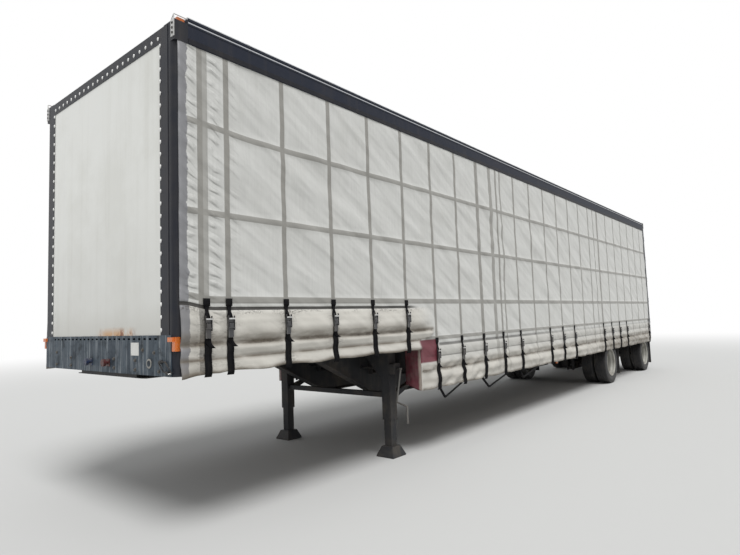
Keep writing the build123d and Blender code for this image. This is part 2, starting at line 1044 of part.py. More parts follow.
def wheel_nodes(place, side):
    """Return a twin wheel's tyres, discs and hub at their place on one side."""
    tyres = [tyre(dual_spacing / 2), tyre(-dual_spacing / 2)]
    discs = [wheel_disc(True), wheel_disc(False)]
    hub = [hub_and_drum()]
    turn = Pos(side * track_side, place, axle_height)
    if side < 0:
        turn = turn * Rot(0, 0, 180)
    return [[turn * shape for shape in group] for group in (tyres, discs, hub)]


def axle(place):
    """Return an axle tube with its spindles and camshafts."""
    shoulder = track_side - drum_length - axle_end_gap
    spindle_tip = track_side + spindle_reach
    tube = rod_x(-shoulder, shoulder, place, axle_height, axle_tube_radius)
    spindles = rod_x(-spindle_tip, spindle_tip, place, axle_height, spindle_radius)
    body = tube + spindles
    axle_face = place - axle_tube_radius / 2
    bracket_face = place - chamber_lead
    for sign in (1, -1):
        low, high = sorted((sign * (chamber_side - camshaft_inner_lap), sign * shoulder))
        shaft = rod_x(low, high, place - camshaft_lead, axle_height, camshaft_radius)
        low, high = sorted((sign * (shoulder - camshaft_stay_far), sign * (shoulder - camshaft_stay_near)))
        stay = box_between(
            low,
            high,
            place - camshaft_lead - camshaft_stay_half,
            axle_face,
            axle_height - camshaft_stay_half,
            axle_height + camshaft_stay_half,
        )
        middle = sign * chamber_side
        bracket = box_between(
            middle - chamber_bracket_half,
            middle + chamber_bracket_half,
            bracket_face - chamber_bracket,
            bracket_face,
            axle_height - chamber_bracket_half,
            axle_height + chamber_bracket_rise,
        )
        web = box_between(
            middle - chamber_web_half,
            middle + chamber_web_half,
            bracket_face,
            axle_face,
            axle_height - camshaft_stay_half,
            axle_height + camshaft_stay_half,
        )
        body += shaft + stay + bracket + web
    return body


def brake_chambers():
    """Return the brake chambers, on their brackets ahead of each axle."""
    chambers = []
    for place in axle_places:
        back = place - chamber_lead - chamber_bracket
        can = rod_y(chamber_side, back - chamber_length, back, axle_height, chamber_radius)
        band = rod_y(
            chamber_side,
            back - chamber_length / 2 - chamber_band_half,
            back - chamber_length / 2 + chamber_band_half,
            axle_height,
            chamber_radius + chamber_band_rise,
        )
        chambers += both_sides(can + band)
    return chambers


# Suspension


def trailing_arm(place):
    """Return a left trailing arm with the seat that holds the axle."""
    low = beam_side - arm_width / 2
    high = beam_side + arm_width / 2
    front = place - arm_front_reach
    rear = place + arm_rear_reach
    arm = box_between(low, high, front, rear, arm_bottom, arm_top)
    nose = rod_x(low, high, front, pivot_height, arm_depth / 2)
    seat = box_between(
        low, high, place - arm_seat_reach, place + arm_seat_reach, arm_top, axle_height - arm_seat_gap
    )
    clear = rod_x(low, high, place, axle_height, axle_tube_radius + bead_fit)
    eye = rod_x(low, high, front, pivot_height, pivot_radius + pivot_fit)
    return arm + nose + seat - clear - eye


def hanger(place):
    """Return a left hanger: two plates, a top plate and the pivot bolt."""
    inner = beam_side - arm_width / 2 - hanger_gap
    outer = beam_side + arm_width / 2 + hanger_gap
    y_pivot = place - arm_front_reach
    low = pivot_height - hanger_below_pivot
    plates = None
    for x_low in (inner - hanger_plate, outer):
        plate = outline_x(
            [
                (y_pivot - hanger_length / 4, low),
                (y_pivot + hanger_length / 4, low),
                (y_pivot + hanger_length / 2, lower_beam_bottom),
                (y_pivot - hanger_length / 2, lower_beam_bottom),
            ],
            x_low,
            x_low + hanger_plate,
        )
        plates = plate if plates is None else plates + plate
    top = box_between(
        inner,
        outer,
        y_pivot - hanger_length / 2,
        y_pivot + hanger_length / 2,
        lower_beam_bottom - hanger_plate,
        lower_beam_bottom,
    )
    bolt_reach = hanger_plate + pivot_bolt_reach
    bolt = rod_x(inner - bolt_reach, outer + bolt_reach, y_pivot, pivot_height, pivot_radius)
    return plates + top + bolt


def air_spring(place):
    """Return a left air spring between its arm and the beam."""
    low = arm_top
    high = lower_beam_bottom
    quarter = (high - low) / 4
    profile = Polyline(
        (0, low),
        (air_spring_waist, low),
        (air_spring_waist, low + quarter),
        (air_spring_radius, low + 1.6 * quarter),
        (air_spring_radius, high - 0.5 * quarter),
        (air_spring_waist, high),
        (0, high),
        close=True,
    )
    face = Plane.XZ * make_face(profile)
    return Pos(beam_side, place + air_spring_place, 0) * revolve(face, Axis.Z, 360)


# Landing gear


def landing_legs():
    """Return the outer tubes of the landing gear, up to the cross-members."""
    half = leg_tube / 2
    tube = box_between(
        leg_side - half, leg_side + half, y_leg - half, y_leg + half, leg_tube_bottom, neck_top
    )
    return both_sides(tube)


def landing_feet():
    """Return the inner tubes with their feet on the floor."""
    half = leg_inner_tube / 2
    tube = box_between(
        leg_side - half, leg_side + half, y_leg - half, y_leg + half, foot_height, leg_tube_bottom
    )
    plate = box_between(
        leg_side - foot_length / 2,
        leg_side + foot_length / 2,
        y_leg - foot_length / 2,
        y_leg + foot_length / 2,
        0,
        foot_plate,
    )
    lower = Pos(leg_side, y_leg, foot_plate) * Rectangle(foot_length, foot_length)
    upper = Pos(leg_side, y_leg, foot_height) * Rectangle(foot_top_width, foot_top_width)
    shoe = loft([lower, upper])
    return both_sides(tube + plate + shoe)


def landing_braces():
    """Return the wing plates, cross brace and rear braces that hold the legs."""
    half = leg_tube / 2
    inner = leg_side - half
    beam_face = beam_side + beam_flange_width / 2
    shapes = []
    for y_low in (y_leg - half, y_leg + half - wing_plate):
        wing = outline_y(
            [
                (beam_face, neck_top - wing_depth),
                (inner, gearbox_height - gearbox_size),
                (inner, neck_top),
                (beam_face, neck_top),
            ],
            y_low,
            y_low + wing_plate,
        )
        shapes += both_sides(wing)
    cross = box_between(
        -inner,
        inner,
        y_leg - brace_bar / 2,
        y_leg + brace_bar / 2,
        brace_height - brace_bar / 2,
        brace_height + brace_bar / 2,
    )
    rear_member = lower_member_places()[1]
    brace = outline_x(
        [
            (y_leg + half, brace_height - brace_bar),
            (rear_member + crossmember_width / 2, lower_beam_top),
            (rear_member - crossmember_width / 2, lower_beam_top),
            (y_leg + half, brace_height + brace_bar / 4),
        ],
        leg_side - brace_bar / 2,
        leg_side + brace_bar / 2,
    )
    return shapes + [cross] + both_sides(brace)


def landing_gearbox():
    """Return the left gearbox with its output stub, and the cross shaft between the legs."""
    face = leg_side + leg_tube / 2
    outer = face + gearbox_width
    half = gearbox_size / 2
    case = box_between(
        face, outer, y_leg - half, y_leg + half, gearbox_height - half, gearbox_height + half
    )
    case = fillet(case.edges().filter_by(Axis.X), gearbox_corner_radius)
    stub_radius = crank_radius + crank_socket_wall
    stub = rod_x(outer, outer + crank_stub, y_leg, gearbox_height, stub_radius)
    inner = leg_side - leg_tube / 2
    shaft = rod_x(-inner, inner, y_leg, gearbox_height, cross_shaft_radius)
    return [case + stub, shaft]


def crank():
    """Return the folded crank that hangs from the gearbox stub."""
    x = leg_side + leg_tube / 2 + gearbox_width + crank_stub
    top = (x + crank_radius, y_leg, gearbox_height)
    bend = (top[0] - crank_lean, y_leg, gearbox_height - crank_drop)
    throw = (bend[0] + crank_throw, y_leg, bend[2] - crank_drop / 10)
    end = (throw[0], y_leg, throw[2] - crank_handle)
    socket_radius = crank_radius + crank_socket_wall
    rod = rod_x(x, x + 2 * crank_radius, y_leg, gearbox_height, socket_radius)
    for start, stop in ((top, bend), (bend, throw), (throw, end)):
        rod += rod_between(start, stop, crank_radius)
    clear = box_between(
        x - 2 * crank_stub,
        x,
        y_leg - crank_clear_width / 2,
        y_leg + crank_clear_width / 2,
        gearbox_height - crank_clear_height / 2,
        gearbox_height + crank_clear_height / 2,
    )
    return [rod - clear]


# Rear frame, guard and mud flaps


def hinge_heights():
    """Return the heights of the middles of a door's hinges."""
    low = door_bottom + hinge_end
    pitch = (door_top - door_bottom - 2 * hinge_end) / (hinge_count - 1)
    return [low + index * pitch for index in range(hinge_count)]


def rear_frame():
    """Return the rear posts, header, sill and hinge lugs, with the pins."""
    inner = half_width - rear_post_width
    left = box_between(inner, half_width, y_rear_post, y_rear, lower_floor_bottom, rail_top)
    posts = both_sides(left)
    header = box_between(-inner, inner, y_rear_post, y_rear, rail_top - rear_header_depth, rail_top)
    sill = box_between(
        -half_width,
        half_width,
        y_rear_post,
        y_rear,
        lower_deck_top - rear_sill_depth,
        lower_floor_bottom,
    )
    edge = box_between(-inner, inner, y_rear_post, y_rear, lower_floor_bottom, lower_deck_top)
    frame = posts[0] + posts[1] + header + sill + edge
    for z in hinge_heights():
        strap_half = hinge_strap_height / 2
        lug_set = None
        for low in (z - strap_half - hinge_lug_gap - hinge_lug_height, z + strap_half + hinge_lug_gap):
            lug = box_between(
                x_pin - hinge_lug_thickness / 2,
                half_width,
                y_rear,
                y_pin,
                low,
                low + hinge_lug_height,
            ) + rod_z(x_pin, y_pin, low, low + hinge_lug_height, hinge_lug_thickness / 2)
            lug_set = lug if lug_set is None else lug_set + lug
        reach = strap_half + hinge_lug_gap + hinge_lug_height
        pin = rod_z(x_pin, y_pin, z - reach, z + reach, hinge_pin_radius)
        for shape in both_sides(lug_set + pin):
            frame += shape
    return [frame]


def door_panel():
    """Return the left door's panel."""
    outer = half_width - rear_post_width - door_gap
    return [
        box_between(
            door_gap / 2, outer, y_rear - door_thickness, y_rear, door_bottom, door_top
        )
    ]


def door_hinges():
    """Return the left door's hinge straps, each with the eye that turns on its pin."""
    blade_face = y_rear + hinge_blade_gap
    straps = []
    for z in hinge_heights():
        low = z - hinge_strap_height / 2
        high = z + hinge_strap_height / 2
        blade = box_between(
            x_pin - hinge_strap_length, x_pin, blade_face, y_rear + hinge_strap_thickness, low, high
        )
        seat = box_between(
            x_pin - hinge_strap_length,
            half_width - rear_post_width - door_gap,
            y_rear,
            blade_face,
            low,
            high,
        )
        neck = box_between(x_pin - hinge_eye_radius, x_pin, blade_face, y_pin, low, high)
        eye = rod_z(x_pin, y_pin, low, high, hinge_eye_radius)
        bore = rod_z(x_pin, y_pin, low, high, hinge_pin_radius + hinge_pin_fit)
        straps.append(blade + seat + neck + eye - bore)
    return straps


def lock_rod(place, handle_height, way):
    """Return one lock rod with its guides, cams and handle, on the left door."""
    y = y_rear + lock_rod_stand_off
    low = door_bottom + lock_end_gap
    high = door_top - lock_end_gap
    rod = rod_z(place, y, low, high, lock_rod_radius)
    guide_half = lock_guide_height / 2
    handle_y = y + lock_guide_lap
    for share in lock_guide_shares:
        z = low + share * (high - low)
        rod += box_between(
            place - lock_guide_width / 2,
            place + lock_guide_width / 2,
            y_rear,
            handle_y,
            z - guide_half,
            z + guide_half,
        )
    for z in (low, high - lock_cam_height):
        rod += box_between(
            place - lock_cam_half,
            place + lock_cam_half,
            y_rear,
            y_rear + 2 * lock_rod_stand_off,
            z,
            z + lock_cam_height,
        )
    handle_low = handle_height - lock_handle_width / 2
    handle_high = handle_height + lock_handle_width / 2
    x_low, x_high = sorted((place, place + way * lock_handle_length))
    handle_back = handle_y + lock_handle_thickness
    rod += box_between(x_low, x_high, handle_y, handle_back, handle_low, handle_high)
    catch_place = place + way * (lock_handle_length - lock_catch_inset)
    rod += box_between(
        catch_place - lock_catch_half,
        catch_place + lock_catch_half,
        y_rear,
        handle_y,
        handle_low,
        handle_high,
    )
    return rod


def door_locks():
    """Return the left door's lock rods."""
    return [lock_rod(place, handle, way) for place, handle, way in lock_rod_table]


def lock_keepers():
    """Return the keepers on the header and the sill that face the lock cams."""
    upper_low = door_top + door_gap + keeper_gap
    lower_low = lower_deck_top - keeper_gap - keeper_height
    keepers = []
    for place, _handle, _way in lock_rod_table:
        for low in (upper_low, lower_low):
            keepers += both_sides(
                box_between(
                    place - keeper_half,
                    place + keeper_half,
                    y_rear,
                    y_rear + keeper_depth,
                    low,
                    low + keeper_height,
                )
            )
    return keepers


def rear_guard():
    """Return the under-ride guard on its two posts."""
    y_high = y_rear + fitting_reach
    y_low = y_high - guard_tube
    body = box_between(
        -guard_half_width, guard_half_width, y_low, y_high, guard_top - guard_tube, guard_top
    )
    for x in (beam_side, -beam_side):
        body += box_between(
            x - guard_post / 2,
            x + guard_post / 2,
            y_low,
            y_low + guard_post,
            guard_top,
            lower_deck_top - rear_sill_depth,
        )
    return [body]


def mud_flaps():
    """Return the mud flaps behind the axles."""
    flaps = []
    for place in axle_places:
        low = track_side - mud_flap_width / 2
        high = track_side + mud_flap_width / 2
        y = place + flap_lead
        flap = box_between(
            low, high, y, y + mud_flap_thickness, mud_flap_bottom, flap_hanger_top
        )
        flaps += both_sides(flap)
    return flaps


def flap_hangers():
    """Return the bars that the mud flaps hang from, off the main beams."""
    bars = []
    for place in axle_places:
        y = place + flap_lead
        bar = box_between(
            beam_side + beam_web / 2,
            track_side + mud_flap_width / 2,
            y - flap_hanger,
            y,
            flap_hanger_top - flap_hanger,
            flap_hanger_top,
        )
        bars += both_sides(bar)
    return bars


# Lamps and gladhands


def marker_lamps(front_posts):
    """Return the amber lamps of the front and the sides, the corner ones cut to the post."""
    front = box_between(
        front_lamp_side - lamp_width / 2,
        front_lamp_side + lamp_width / 2,
        bulkhead_face - lamp_depth,
        bulkhead_face,
        front_lamp_height,
        front_lamp_height + lamp_height,
    )
    post_lamp_outer = rail_outer - post_lamp_inset
    post_lamp = box_between(
        post_lamp_outer - post_lamp_width,
        post_lamp_outer,
        bulkhead_face,
        y_front + post_lamp_back,
        post_lamp_low,
        post_lamp_low + post_lamp_height,
    )
    post_lamp = (post_lamp - front_posts).solids()[0]
    roof_lamp = box_between(
        half_width - roof_lamp_inset,
        half_width - 4 * corner_wire_radius,
        y_front + roof_lamp_setback - lamp_width / 2,
        y_front + roof_lamp_setback + lamp_width / 2,
        front_ledge_top,
        front_ledge_top + lamp_height,
    )
    side_lamp = box_between(
        rail_outer - lamp_depth,
        rail_outer,
        y_front + side_lamp_setback - lamp_width / 2,
        y_front + side_lamp_setback + lamp_width / 2,
        lower_hem - side_lamp_drop - lamp_height,
        lower_hem - side_lamp_drop,
    )
    return [lamp for shape in (front, post_lamp, roof_lamp, side_lamp) for lamp in both_sides(shape)]


def rear_lamps():
    """Return the red lamps of the rear sill and header."""
    z = lower_deck_top - rear_sill_depth / 2 - rear_lamp_drop
    lamps = []
    for index in range(rear_lamp_count):
        x = rear_lamp_side + index * rear_lamp_pitch
        lamps += both_sides(rod_y(x, y_rear, y_rear + lamp_depth, z, rear_lamp_radius))
    top = rail_top - rear_header_depth / 2
    for x in (-2 * lamp_width, 0, 2 * lamp_width):
        lamps.append(
            box_between(
                x - lamp_width / 2,
                x + lamp_width / 2,
                y_rear,
                y_rear + lamp_depth,
                top - lamp_height / 2,
                top + lamp_height / 2,
            )
        )
    return lamps


def gladhands():
    """Return the two air couplings on the front bulkhead."""
    face = bulkhead_face
    tip = y_front - fitting_reach
    hands = []
    for index in range(gladhand_count):
        x = gladhand_side + index * gladhand_pitch
        neck = rod_y(x, tip + gladhand_neck_inset, face, gladhand_height, gladhand_radius / 2)
        plate = box_between(
            x - gladhand_radius,
            x + gladhand_radius,
            face - gladhand_plate,
            face,
            gladhand_height - gladhand_radius,
            gladhand_height + gladhand_radius,
        )
        head = rod_y(x, tip, tip + gladhand_head, gladhand_height, gladhand_radius)
        hands.append(neck + plate + head)
    return hands


def mirrored(shapes):
    """Return the other side's copies of a list of shapes."""
    return [mirror(shape, about=Plane.YZ) for shape in shapes]


nodes = {
    "deck_floors": deck_floors(),
    "crossmembers": crossmembers(),
    "side_rails": side_rails(),
    "step_bulkhead": step_bulkhead(),
    "main_beams": main_beams(),
    "neck_crossbeam": neck_crossbeam(),
    "coupler_plate": coupler(),
    "kingpin": kingpin(),
    "front_panel": front_panel(),
    "front_frame": front_frame(),
    "front_bulkhead": front_bulkhead(),
    "top_rails": both_sides(top_rail()),
    "roof": roof(),
    "roof_bows": roof_bows(),
    "side_posts": side_posts(),
    "corner_guards": corner_guards(),
    "curtain_left": curtain(),
    "curtain_right": mirrored(curtain()),
    "step_flaps": step_flaps(),
    "strap_webbing": strap_webbing(),
    "strap_buckles": strap_buckles(),
    "axles": [axle(place) for place in axle_places],
    "brake_chambers": brake_chambers(),
    "trailing_arms": [arm for place in axle_places for arm in both_sides(trailing_arm(place))],
    "suspension_hangers": [part for place in axle_places for part in both_sides(hanger(place))],
    "air_springs": [bag for place in axle_places for bag in both_sides(air_spring(place))],
    "landing_legs": landing_legs(),
    "landing_feet": landing_feet(),
    "landing_braces": landing_braces(),
    "landing_gearbox": landing_gearbox(),
    "landing_crank": crank(),
    "rear_frame": rear_frame(),
    "lock_keepers": lock_keepers(),
    "door_left_panel": door_panel(),
    "door_left_hinges": door_hinges(),
    "door_left_locks": door_locks(),
    "door_right_panel": mirrored(door_panel()),
    "door_right_hinges": mirrored(door_hinges()),
    "door_right_locks": mirrored(door_locks()),
    "rear_guard": rear_guard(),
    "mud_flaps": mud_flaps(),
    "flap_hangers": flap_hangers(),
    "marker_lamps": marker_lamps(front_frame()[0]),
    "rear_lamps": rear_lamps(),
    "gladhands": gladhands(),
}

# Each twin wheel: its name, its axle's place and its side of the trailer.
wheel_table = (
    ("wheel_left_front", y_front_axle, 1),
    ("wheel_right_front", y_front_axle, -1),
    ("wheel_left_rear", y_rear_axle, 1),
    ("wheel_right_rear", y_rear_axle, -1),
)
for wheel_name, wheel_place, wheel_side in wheel_table:
    tyres, discs, hub = wheel_nodes(wheel_place, wheel_side)
    nodes[wheel_name + "_tyres"] = tyres
    nodes[wheel_name + "_discs"] = discs
    nodes[wheel_name + "_hub"] = hub

for node_name, node_shapes in nodes.items():
    save(node_name, node_shapes)
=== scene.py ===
import json
import math

import bmesh
import bpy
from mathutils import Matrix, Vector, noise


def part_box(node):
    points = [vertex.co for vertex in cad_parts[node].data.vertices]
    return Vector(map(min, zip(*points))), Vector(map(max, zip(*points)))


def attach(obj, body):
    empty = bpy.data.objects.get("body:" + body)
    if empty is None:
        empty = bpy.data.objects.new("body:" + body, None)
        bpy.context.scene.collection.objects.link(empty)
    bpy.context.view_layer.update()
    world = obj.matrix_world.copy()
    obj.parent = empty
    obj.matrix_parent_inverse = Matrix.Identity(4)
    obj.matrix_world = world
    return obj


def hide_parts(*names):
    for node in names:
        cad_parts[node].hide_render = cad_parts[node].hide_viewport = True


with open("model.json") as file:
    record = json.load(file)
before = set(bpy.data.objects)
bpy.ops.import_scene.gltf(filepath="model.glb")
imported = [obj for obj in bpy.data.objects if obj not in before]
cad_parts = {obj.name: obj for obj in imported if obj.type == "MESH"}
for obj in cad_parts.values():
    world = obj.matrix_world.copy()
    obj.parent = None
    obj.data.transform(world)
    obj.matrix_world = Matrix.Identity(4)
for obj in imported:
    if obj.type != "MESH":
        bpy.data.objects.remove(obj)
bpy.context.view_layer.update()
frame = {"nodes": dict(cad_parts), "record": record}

bl_info = {
    "name": "Curtain-side trailer finish",
    "version": (1, 0, 0),
    "blender": (4, 5, 0),
    "location": "3D View > Sidebar > Trailer",
    "description": "Dresses the trailer frame with curtains, straps, tyres, lamps and finishes",
    "category": "Object",
}

# Places read from the frame, in metres. Front is -Y, the trailer's left side is +X.
CURTAIN_LOW, CURTAIN_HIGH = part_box("curtain_left")
FLAP_LOW, FLAP_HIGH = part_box("step_flaps")
RAIL_LOW, RAIL_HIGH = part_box("top_rails")
ROOF_LOW, ROOF_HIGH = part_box("roof")
PANEL_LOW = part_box("front_panel")[0]
FRAME_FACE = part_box("front_frame")[0].y
BULKHEAD_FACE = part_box("front_bulkhead")[0].y
Y_FRONT = PANEL_LOW.y
Y_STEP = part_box("step_bulkhead")[0].y
CURTAIN_FACE = CURTAIN_HIGH.x
UPPER_HEM = FLAP_HIGH.z
LOWER_HEM = FLAP_LOW.z

# A place along the side is its distance behind the front wall. These three are such places.
STEP = Y_STEP - Y_FRONT
FIRST = CURTAIN_LOW.y - Y_FRONT
LAST = CURTAIN_HIGH.y - Y_FRONT
# Each side: its name, its direction and the seed of its cloth
SIDES = (("left", 1, 3.0), ("right", -1, 41.0))
WHEELS = ("wheel_left_front", "wheel_right_front", "wheel_left_rear", "wheel_right_rear")

# The sewn webs and the straps follow one grid
WEB_PITCH = 0.6175
WEB_OFFSET = -0.147
WEB_COUNT = 23
WEB_HALF = 0.025
WIDE_WEBS = {8: 0.042, 17: 0.045}
UPPER_STRAPS = (1, 2, 3, 4, 5)
LOWER_STRAPS = (6, 7, 8, 9, 10, 12, 13, 14, 17, 18, 19, 20)
LEAD_STRAP = 0.260
REAR_STRAP = 14.400
STRAP_TOP_UPPER = 1.850
STRAP_TOP_LOWER = 1.383
# Bands that stand off the grid: middle, half width and tone
OTHER_BANDS = (
    (5.208, 0.045, 0.9),
    (5.550, 0.022, 0.9),
    (10.069, 0.022, 0.9),
    (0.217, 0.023, 1.0),
    (0.263, 0.023, 0.72),
)
# Sewn bands across the curtain: height, half width, first and last place
CROSS_BANDS = (
    (3.238, 0.024, 0.09, 14.51),
    (2.543, 0.024, 0.09, 14.51),
    (1.842, 0.027, 0.09, 14.51),
    (1.383, 0.022, 3.30, 14.51),
)
BAND_TONE = 0.9
# Heights at the edges of the painted seams, lines and patch, where the curtain has rows of its own
LINE_ROWS = (
    1.102, 1.146, 1.149, 1.160, 1.163, 1.289, 1.312, 1.366, 1.370, 1.484, 1.755, 1.759, 1.783, 1.787,
)

# The cloth's plain face lies this far behind the face of its solid
CLOTH_BASE = CURTAIN_FACE - 0.0026
LEAST_OUT = 0.0012
# How steeply the cloth's folds run down toward the rear
FOLD_SLANT = math.radians(32)
FLAP_WIDTH = 0.230
BUCKLE_LIFT = 0.010
STRAP_THICKNESS = 0.0022
SLACK_THICKNESS = 0.0024
SLACK_WIDTH = 0.034
SLACK_TURN = 0.035
SLACK_INSET = 0.020
# Slack webbing below the left hem: three points each, as (place, height)
SLACK_STRAPS = (
    ((3.609, 0.775), (3.723, 0.624), (4.187, 0.767)),
    ((4.714, 0.780), (4.910, 0.616), (5.580, 0.765)),
    ((5.972, 0.775), (6.072, 0.630), (6.732, 0.760)),
)

# Cross sections of the two skirts: height, and how far the cloth stands out there, as a share
UPPER_SKIRT = (
    (1.760, 0.00), (1.720, 0.30), (1.660, 0.70), (1.600, 0.95), (1.555, 0.92), (1.525, 0.62), (1.500, 0.20),
    (1.484, 0.15), (1.468, 0.48), (1.452, 0.72), (1.435, 0.66), (1.410, 0.42), (1.385, 0.22), (1.370, 0.20),
    (1.352, 0.34), (1.320, 0.55), (1.285, 0.70), (1.266, 0.66),
)
LOWER_SKIRT = (
    (1.320, 0.00), (1.300, 0.06), (1.285, 0.16), (1.230, 0.30), (1.180, 0.22), (1.155, 0.05), (1.140, 0.12),
    (1.110, 0.30), (1.075, 0.50), (1.050, 0.42), (1.020, 0.20), (0.995, 0.10), (0.970, 0.26), (0.930, 0.62),
    (0.895, 0.80), (0.860, 0.72), (0.820, 0.50), (0.790, 0.52), (0.771, 0.48),
)

# Front wall: the white sheet's edges, and the fittings as (x, z) places
PANEL_HALF = 1.075
PANEL_TOP = 3.925
RIVET_SIZE = (0.024, 0.014, 0.034)
BULKHEAD_BOLTS = (
    (-0.602, 1.372), (0.301, 1.380), (0.302, 1.303), (0.674, 1.298), (1.055, 1.296), (0.674, 1.375),
    (-0.95, 1.42), (-0.95, 1.30), (-0.60, 1.30), (0.98, 1.44), (0.80, 1.46),
)
LABEL_LOW, LABEL_HIGH = (0.602, 1.413), (0.734, 1.518)
ROUND_PLATE = (0.90, 1.353)
LOOP_PATH = (
    (1.075, 1.372), (1.17, 1.372), (1.255, 1.295), (1.235, 1.282), (1.190, 1.290), (1.14, 1.300),
    (1.075, 1.360),
)
BRIGHT_RUNS = (2, 3)
LOOP_STANDOFF = 0.014
LOOP_CLIPS = ((1.10, 1.372), (1.20, 1.29))
CORNER_BOLT_X = 1.2725
CORNER_BOLT_HEIGHTS = (3.945, 3.985, 4.025)

# Top rail: its outer face, and its strips by piece and finish, each with its two heights, how far it
# stands out and its bevel
RAIL_FACE = 1.2955
RAIL_STRIPS = (
    ("rail_line", "rail_line", ((4.062, 4.073, 0.0025, 0.001),), 1),
    ("rail_edge", "rail_dark", ((4.082, 4.104, 0.004, 0.002), (4.046, 4.058, 0.003, 0.001)), 1),
    # The lip strip is near black: a painted shadow along the rail's lower edge
    ("rail_lip", "lip_black", ((RAIL_LOW.z + 0.002, RAIL_LOW.z + 0.046, 0.006, 0.004),), 2),
)
ROOF_SHEET = 1.22
ROOF_EDGE = (1.2875, 1.2475)

# Wheels and doors
TYRE_STEPS = 144
TYRE_OFFSET = 0.1435
GROOVES = (-0.068, -0.023, 0.023, 0.068)
NUT_CIRCLE = 0.1425
CAP_CIRCLE = 0.052
SEAL_WIDTH = 0.030
DOOR_EDGE = 1.2755
HINGE_BOLTS = (0.055, 0.130, 0.215)
HINGE_FACE = 7.3275

# Stage, with the camera's place and its yaw, pitch and roll in degrees
FLOOR_RADIUS = 150.0
FLOOR_FADE = (11.0, 34.0)
SUN_STRENGTH = 2.5
SUN_ANGLE = math.radians(28)
SUN_DIRECTION = (-0.50, 0.34, -1.15)
CAMERA_LENS = 26.104
CAMERA_PLACE = (5.00825, -9.4834, 1.6436)
CAMERA_TURN = (39.770, 4.444, -1.989)

GRIME_COLOUR = (0.115, 0.098, 0.078)
RUST_COLOUR = (0.17, 0.062, 0.026)


def web_place(number):
    """Return a web's place."""
    return WEB_OFFSET + WEB_PITCH * number


# Each strap: its place, its top and its hem
STRAPS = (
    (LEAD_STRAP, STRAP_TOP_UPPER, UPPER_HEM),
    *((web_place(number), STRAP_TOP_UPPER, UPPER_HEM) for number in UPPER_STRAPS),
    *((web_place(number), STRAP_TOP_LOWER, LOWER_HEM) for number in LOWER_STRAPS),
    (REAR_STRAP, STRAP_TOP_LOWER, LOWER_HEM),
)
# Each upright band: its middle, its half width and its tone
BANDS = (
    *((web_place(number), WIDE_WEBS.get(number, WEB_HALF), 1.0) for number in range(1, WEB_COUNT + 1)),
    *OTHER_BANDS,
)


def size_property(name, description, default, low, high):
    """Return a length property with its text, default and limits."""
    return bpy.props.FloatProperty(
        name=name, description=description, default=default, min=low, max=high, unit="LENGTH"
    )


class TrailerSizes(bpy.types.PropertyGroup):
    """Sizes that a user may change."""

    wrinkle_depth: size_property("Wrinkle depth", "How far the cloth's wrinkles stand out", 0.019, 0.0, 0.03)
    skirt_depth: size_property("Skirt depth", "How far the skirt bulges between straps", 0.046, 0.0, 0.055)
    cloth_thickness: size_property("Cloth thickness", "Of the curtain and the flaps", 0.0022, 0.001, 0.003)
    strap_width: size_property("Strap width", "Width of the webbing straps", 0.055, 0.03, 0.06)
    groove_depth: size_property("Groove depth", "Depth of the grooves round the tyres", 0.009, 0.002, 0.012)
    rivet_pitch: size_property("Rivet pitch", "From one rivet of the flange to the next", 0.100, 0.05, 0.3)


def colour_property(name, description, default):
    """Return a colour property with its text and default."""
    return bpy.props.FloatVectorProperty(
        name=name, description=description, default=default, size=3, min=0.0, max=1.0, subtype="COLOR"
    )


class TrailerColours(bpy.types.PropertyGroup):
    """Colours that a user may change."""

    curtain: colour_property("Curtain", "Coated cloth of the curtains", (0.580, 0.580, 0.556))
    band: colour_property("Bands", "Webs and tapes sewn on the curtains", (0.265, 0.257, 0.235))
    maroon: colour_property("Maroon", "Flaps at the step", (0.135, 0.026, 0.038))
    panel: colour_property("Front panel", "Sheet of the front wall", (0.80, 0.805, 0.77))
    frame_paint: colour_property("Front frame", "Posts and flange of the front wall", (0.014, 0.016, 0.023))
    rail: colour_property("Top rails", "Rails above the curtains", (0.020, 0.024, 0.037))
    bulkhead: colour_property("Bulkhead", "Steel below the front wall", (0.028, 0.042, 0.058))
    chassis: colour_property("Chassis", "Beams, axles and landing gear", (0.022, 0.023, 0.026))
    wheel: colour_property("Wheels", "Paint of the wheel discs", (0.36, 0.355, 0.32))
    rubber: colour_property("Rubber", "Tyres, bags and mud flaps", (0.018, 0.018, 0.019))


# Shader helpers


def node(tree, kind, **settings):
    """Add one shader node with its settings."""
    made = tree.nodes.new(kind)
    for key, value in settings.items():
        setattr(made, key, value)
    return made


def feed(tree, socket, value):
    """Link a socket to an input, or set the input to a value."""
    if isinstance(value, bpy.types.NodeSocket):
        tree.links.new(value, socket)
    elif value is not None:
        socket.default_value = value


def math_node(tree, operation, first, second=None, clamp=False):
    """Add a math node, fed by sockets or numbers, and return its output."""
    made = node(tree, "ShaderNodeMath", operation=operation, use_clamp=clamp)
    feed(tree, made.inputs[0], first)
    feed(tree, made.inputs[1], second)
    return made.outputs[0]


def mix_colour(tree, factor, first, second):
    """Mix two colours by a factor, each a socket or a value, and return the output."""
    made = node(tree, "ShaderNodeMix", data_type="RGBA")
    feed(tree, made.inputs[0], factor)
    for index, value in ((6, first), (7, second)):
        colour = value if isinstance(value, bpy.types.NodeSocket) else (*value[:3], 1.0)
        feed(tree, made.inputs[index], colour)
    return made.outputs[2]


def tones(colour, dark, light):
    """Return a darker and a lighter tone of one colour."""
    return [part * dark for part in colour], [part * light for part in colour]


def split(tree, vector):
    """Return the three parts of a vector."""
    made = node(tree, "ShaderNodeSeparateXYZ")
    feed(tree, made.inputs[0], vector)
    return made.outputs


def times(tree, first, second, clamp=False):
    """Multiply two sockets or numbers."""
    return math_node(tree, "MULTIPLY", first, second, clamp)


def plus(tree, first, second):
    """Add two sockets or numbers."""
    return math_node(tree, "ADD", first, second)


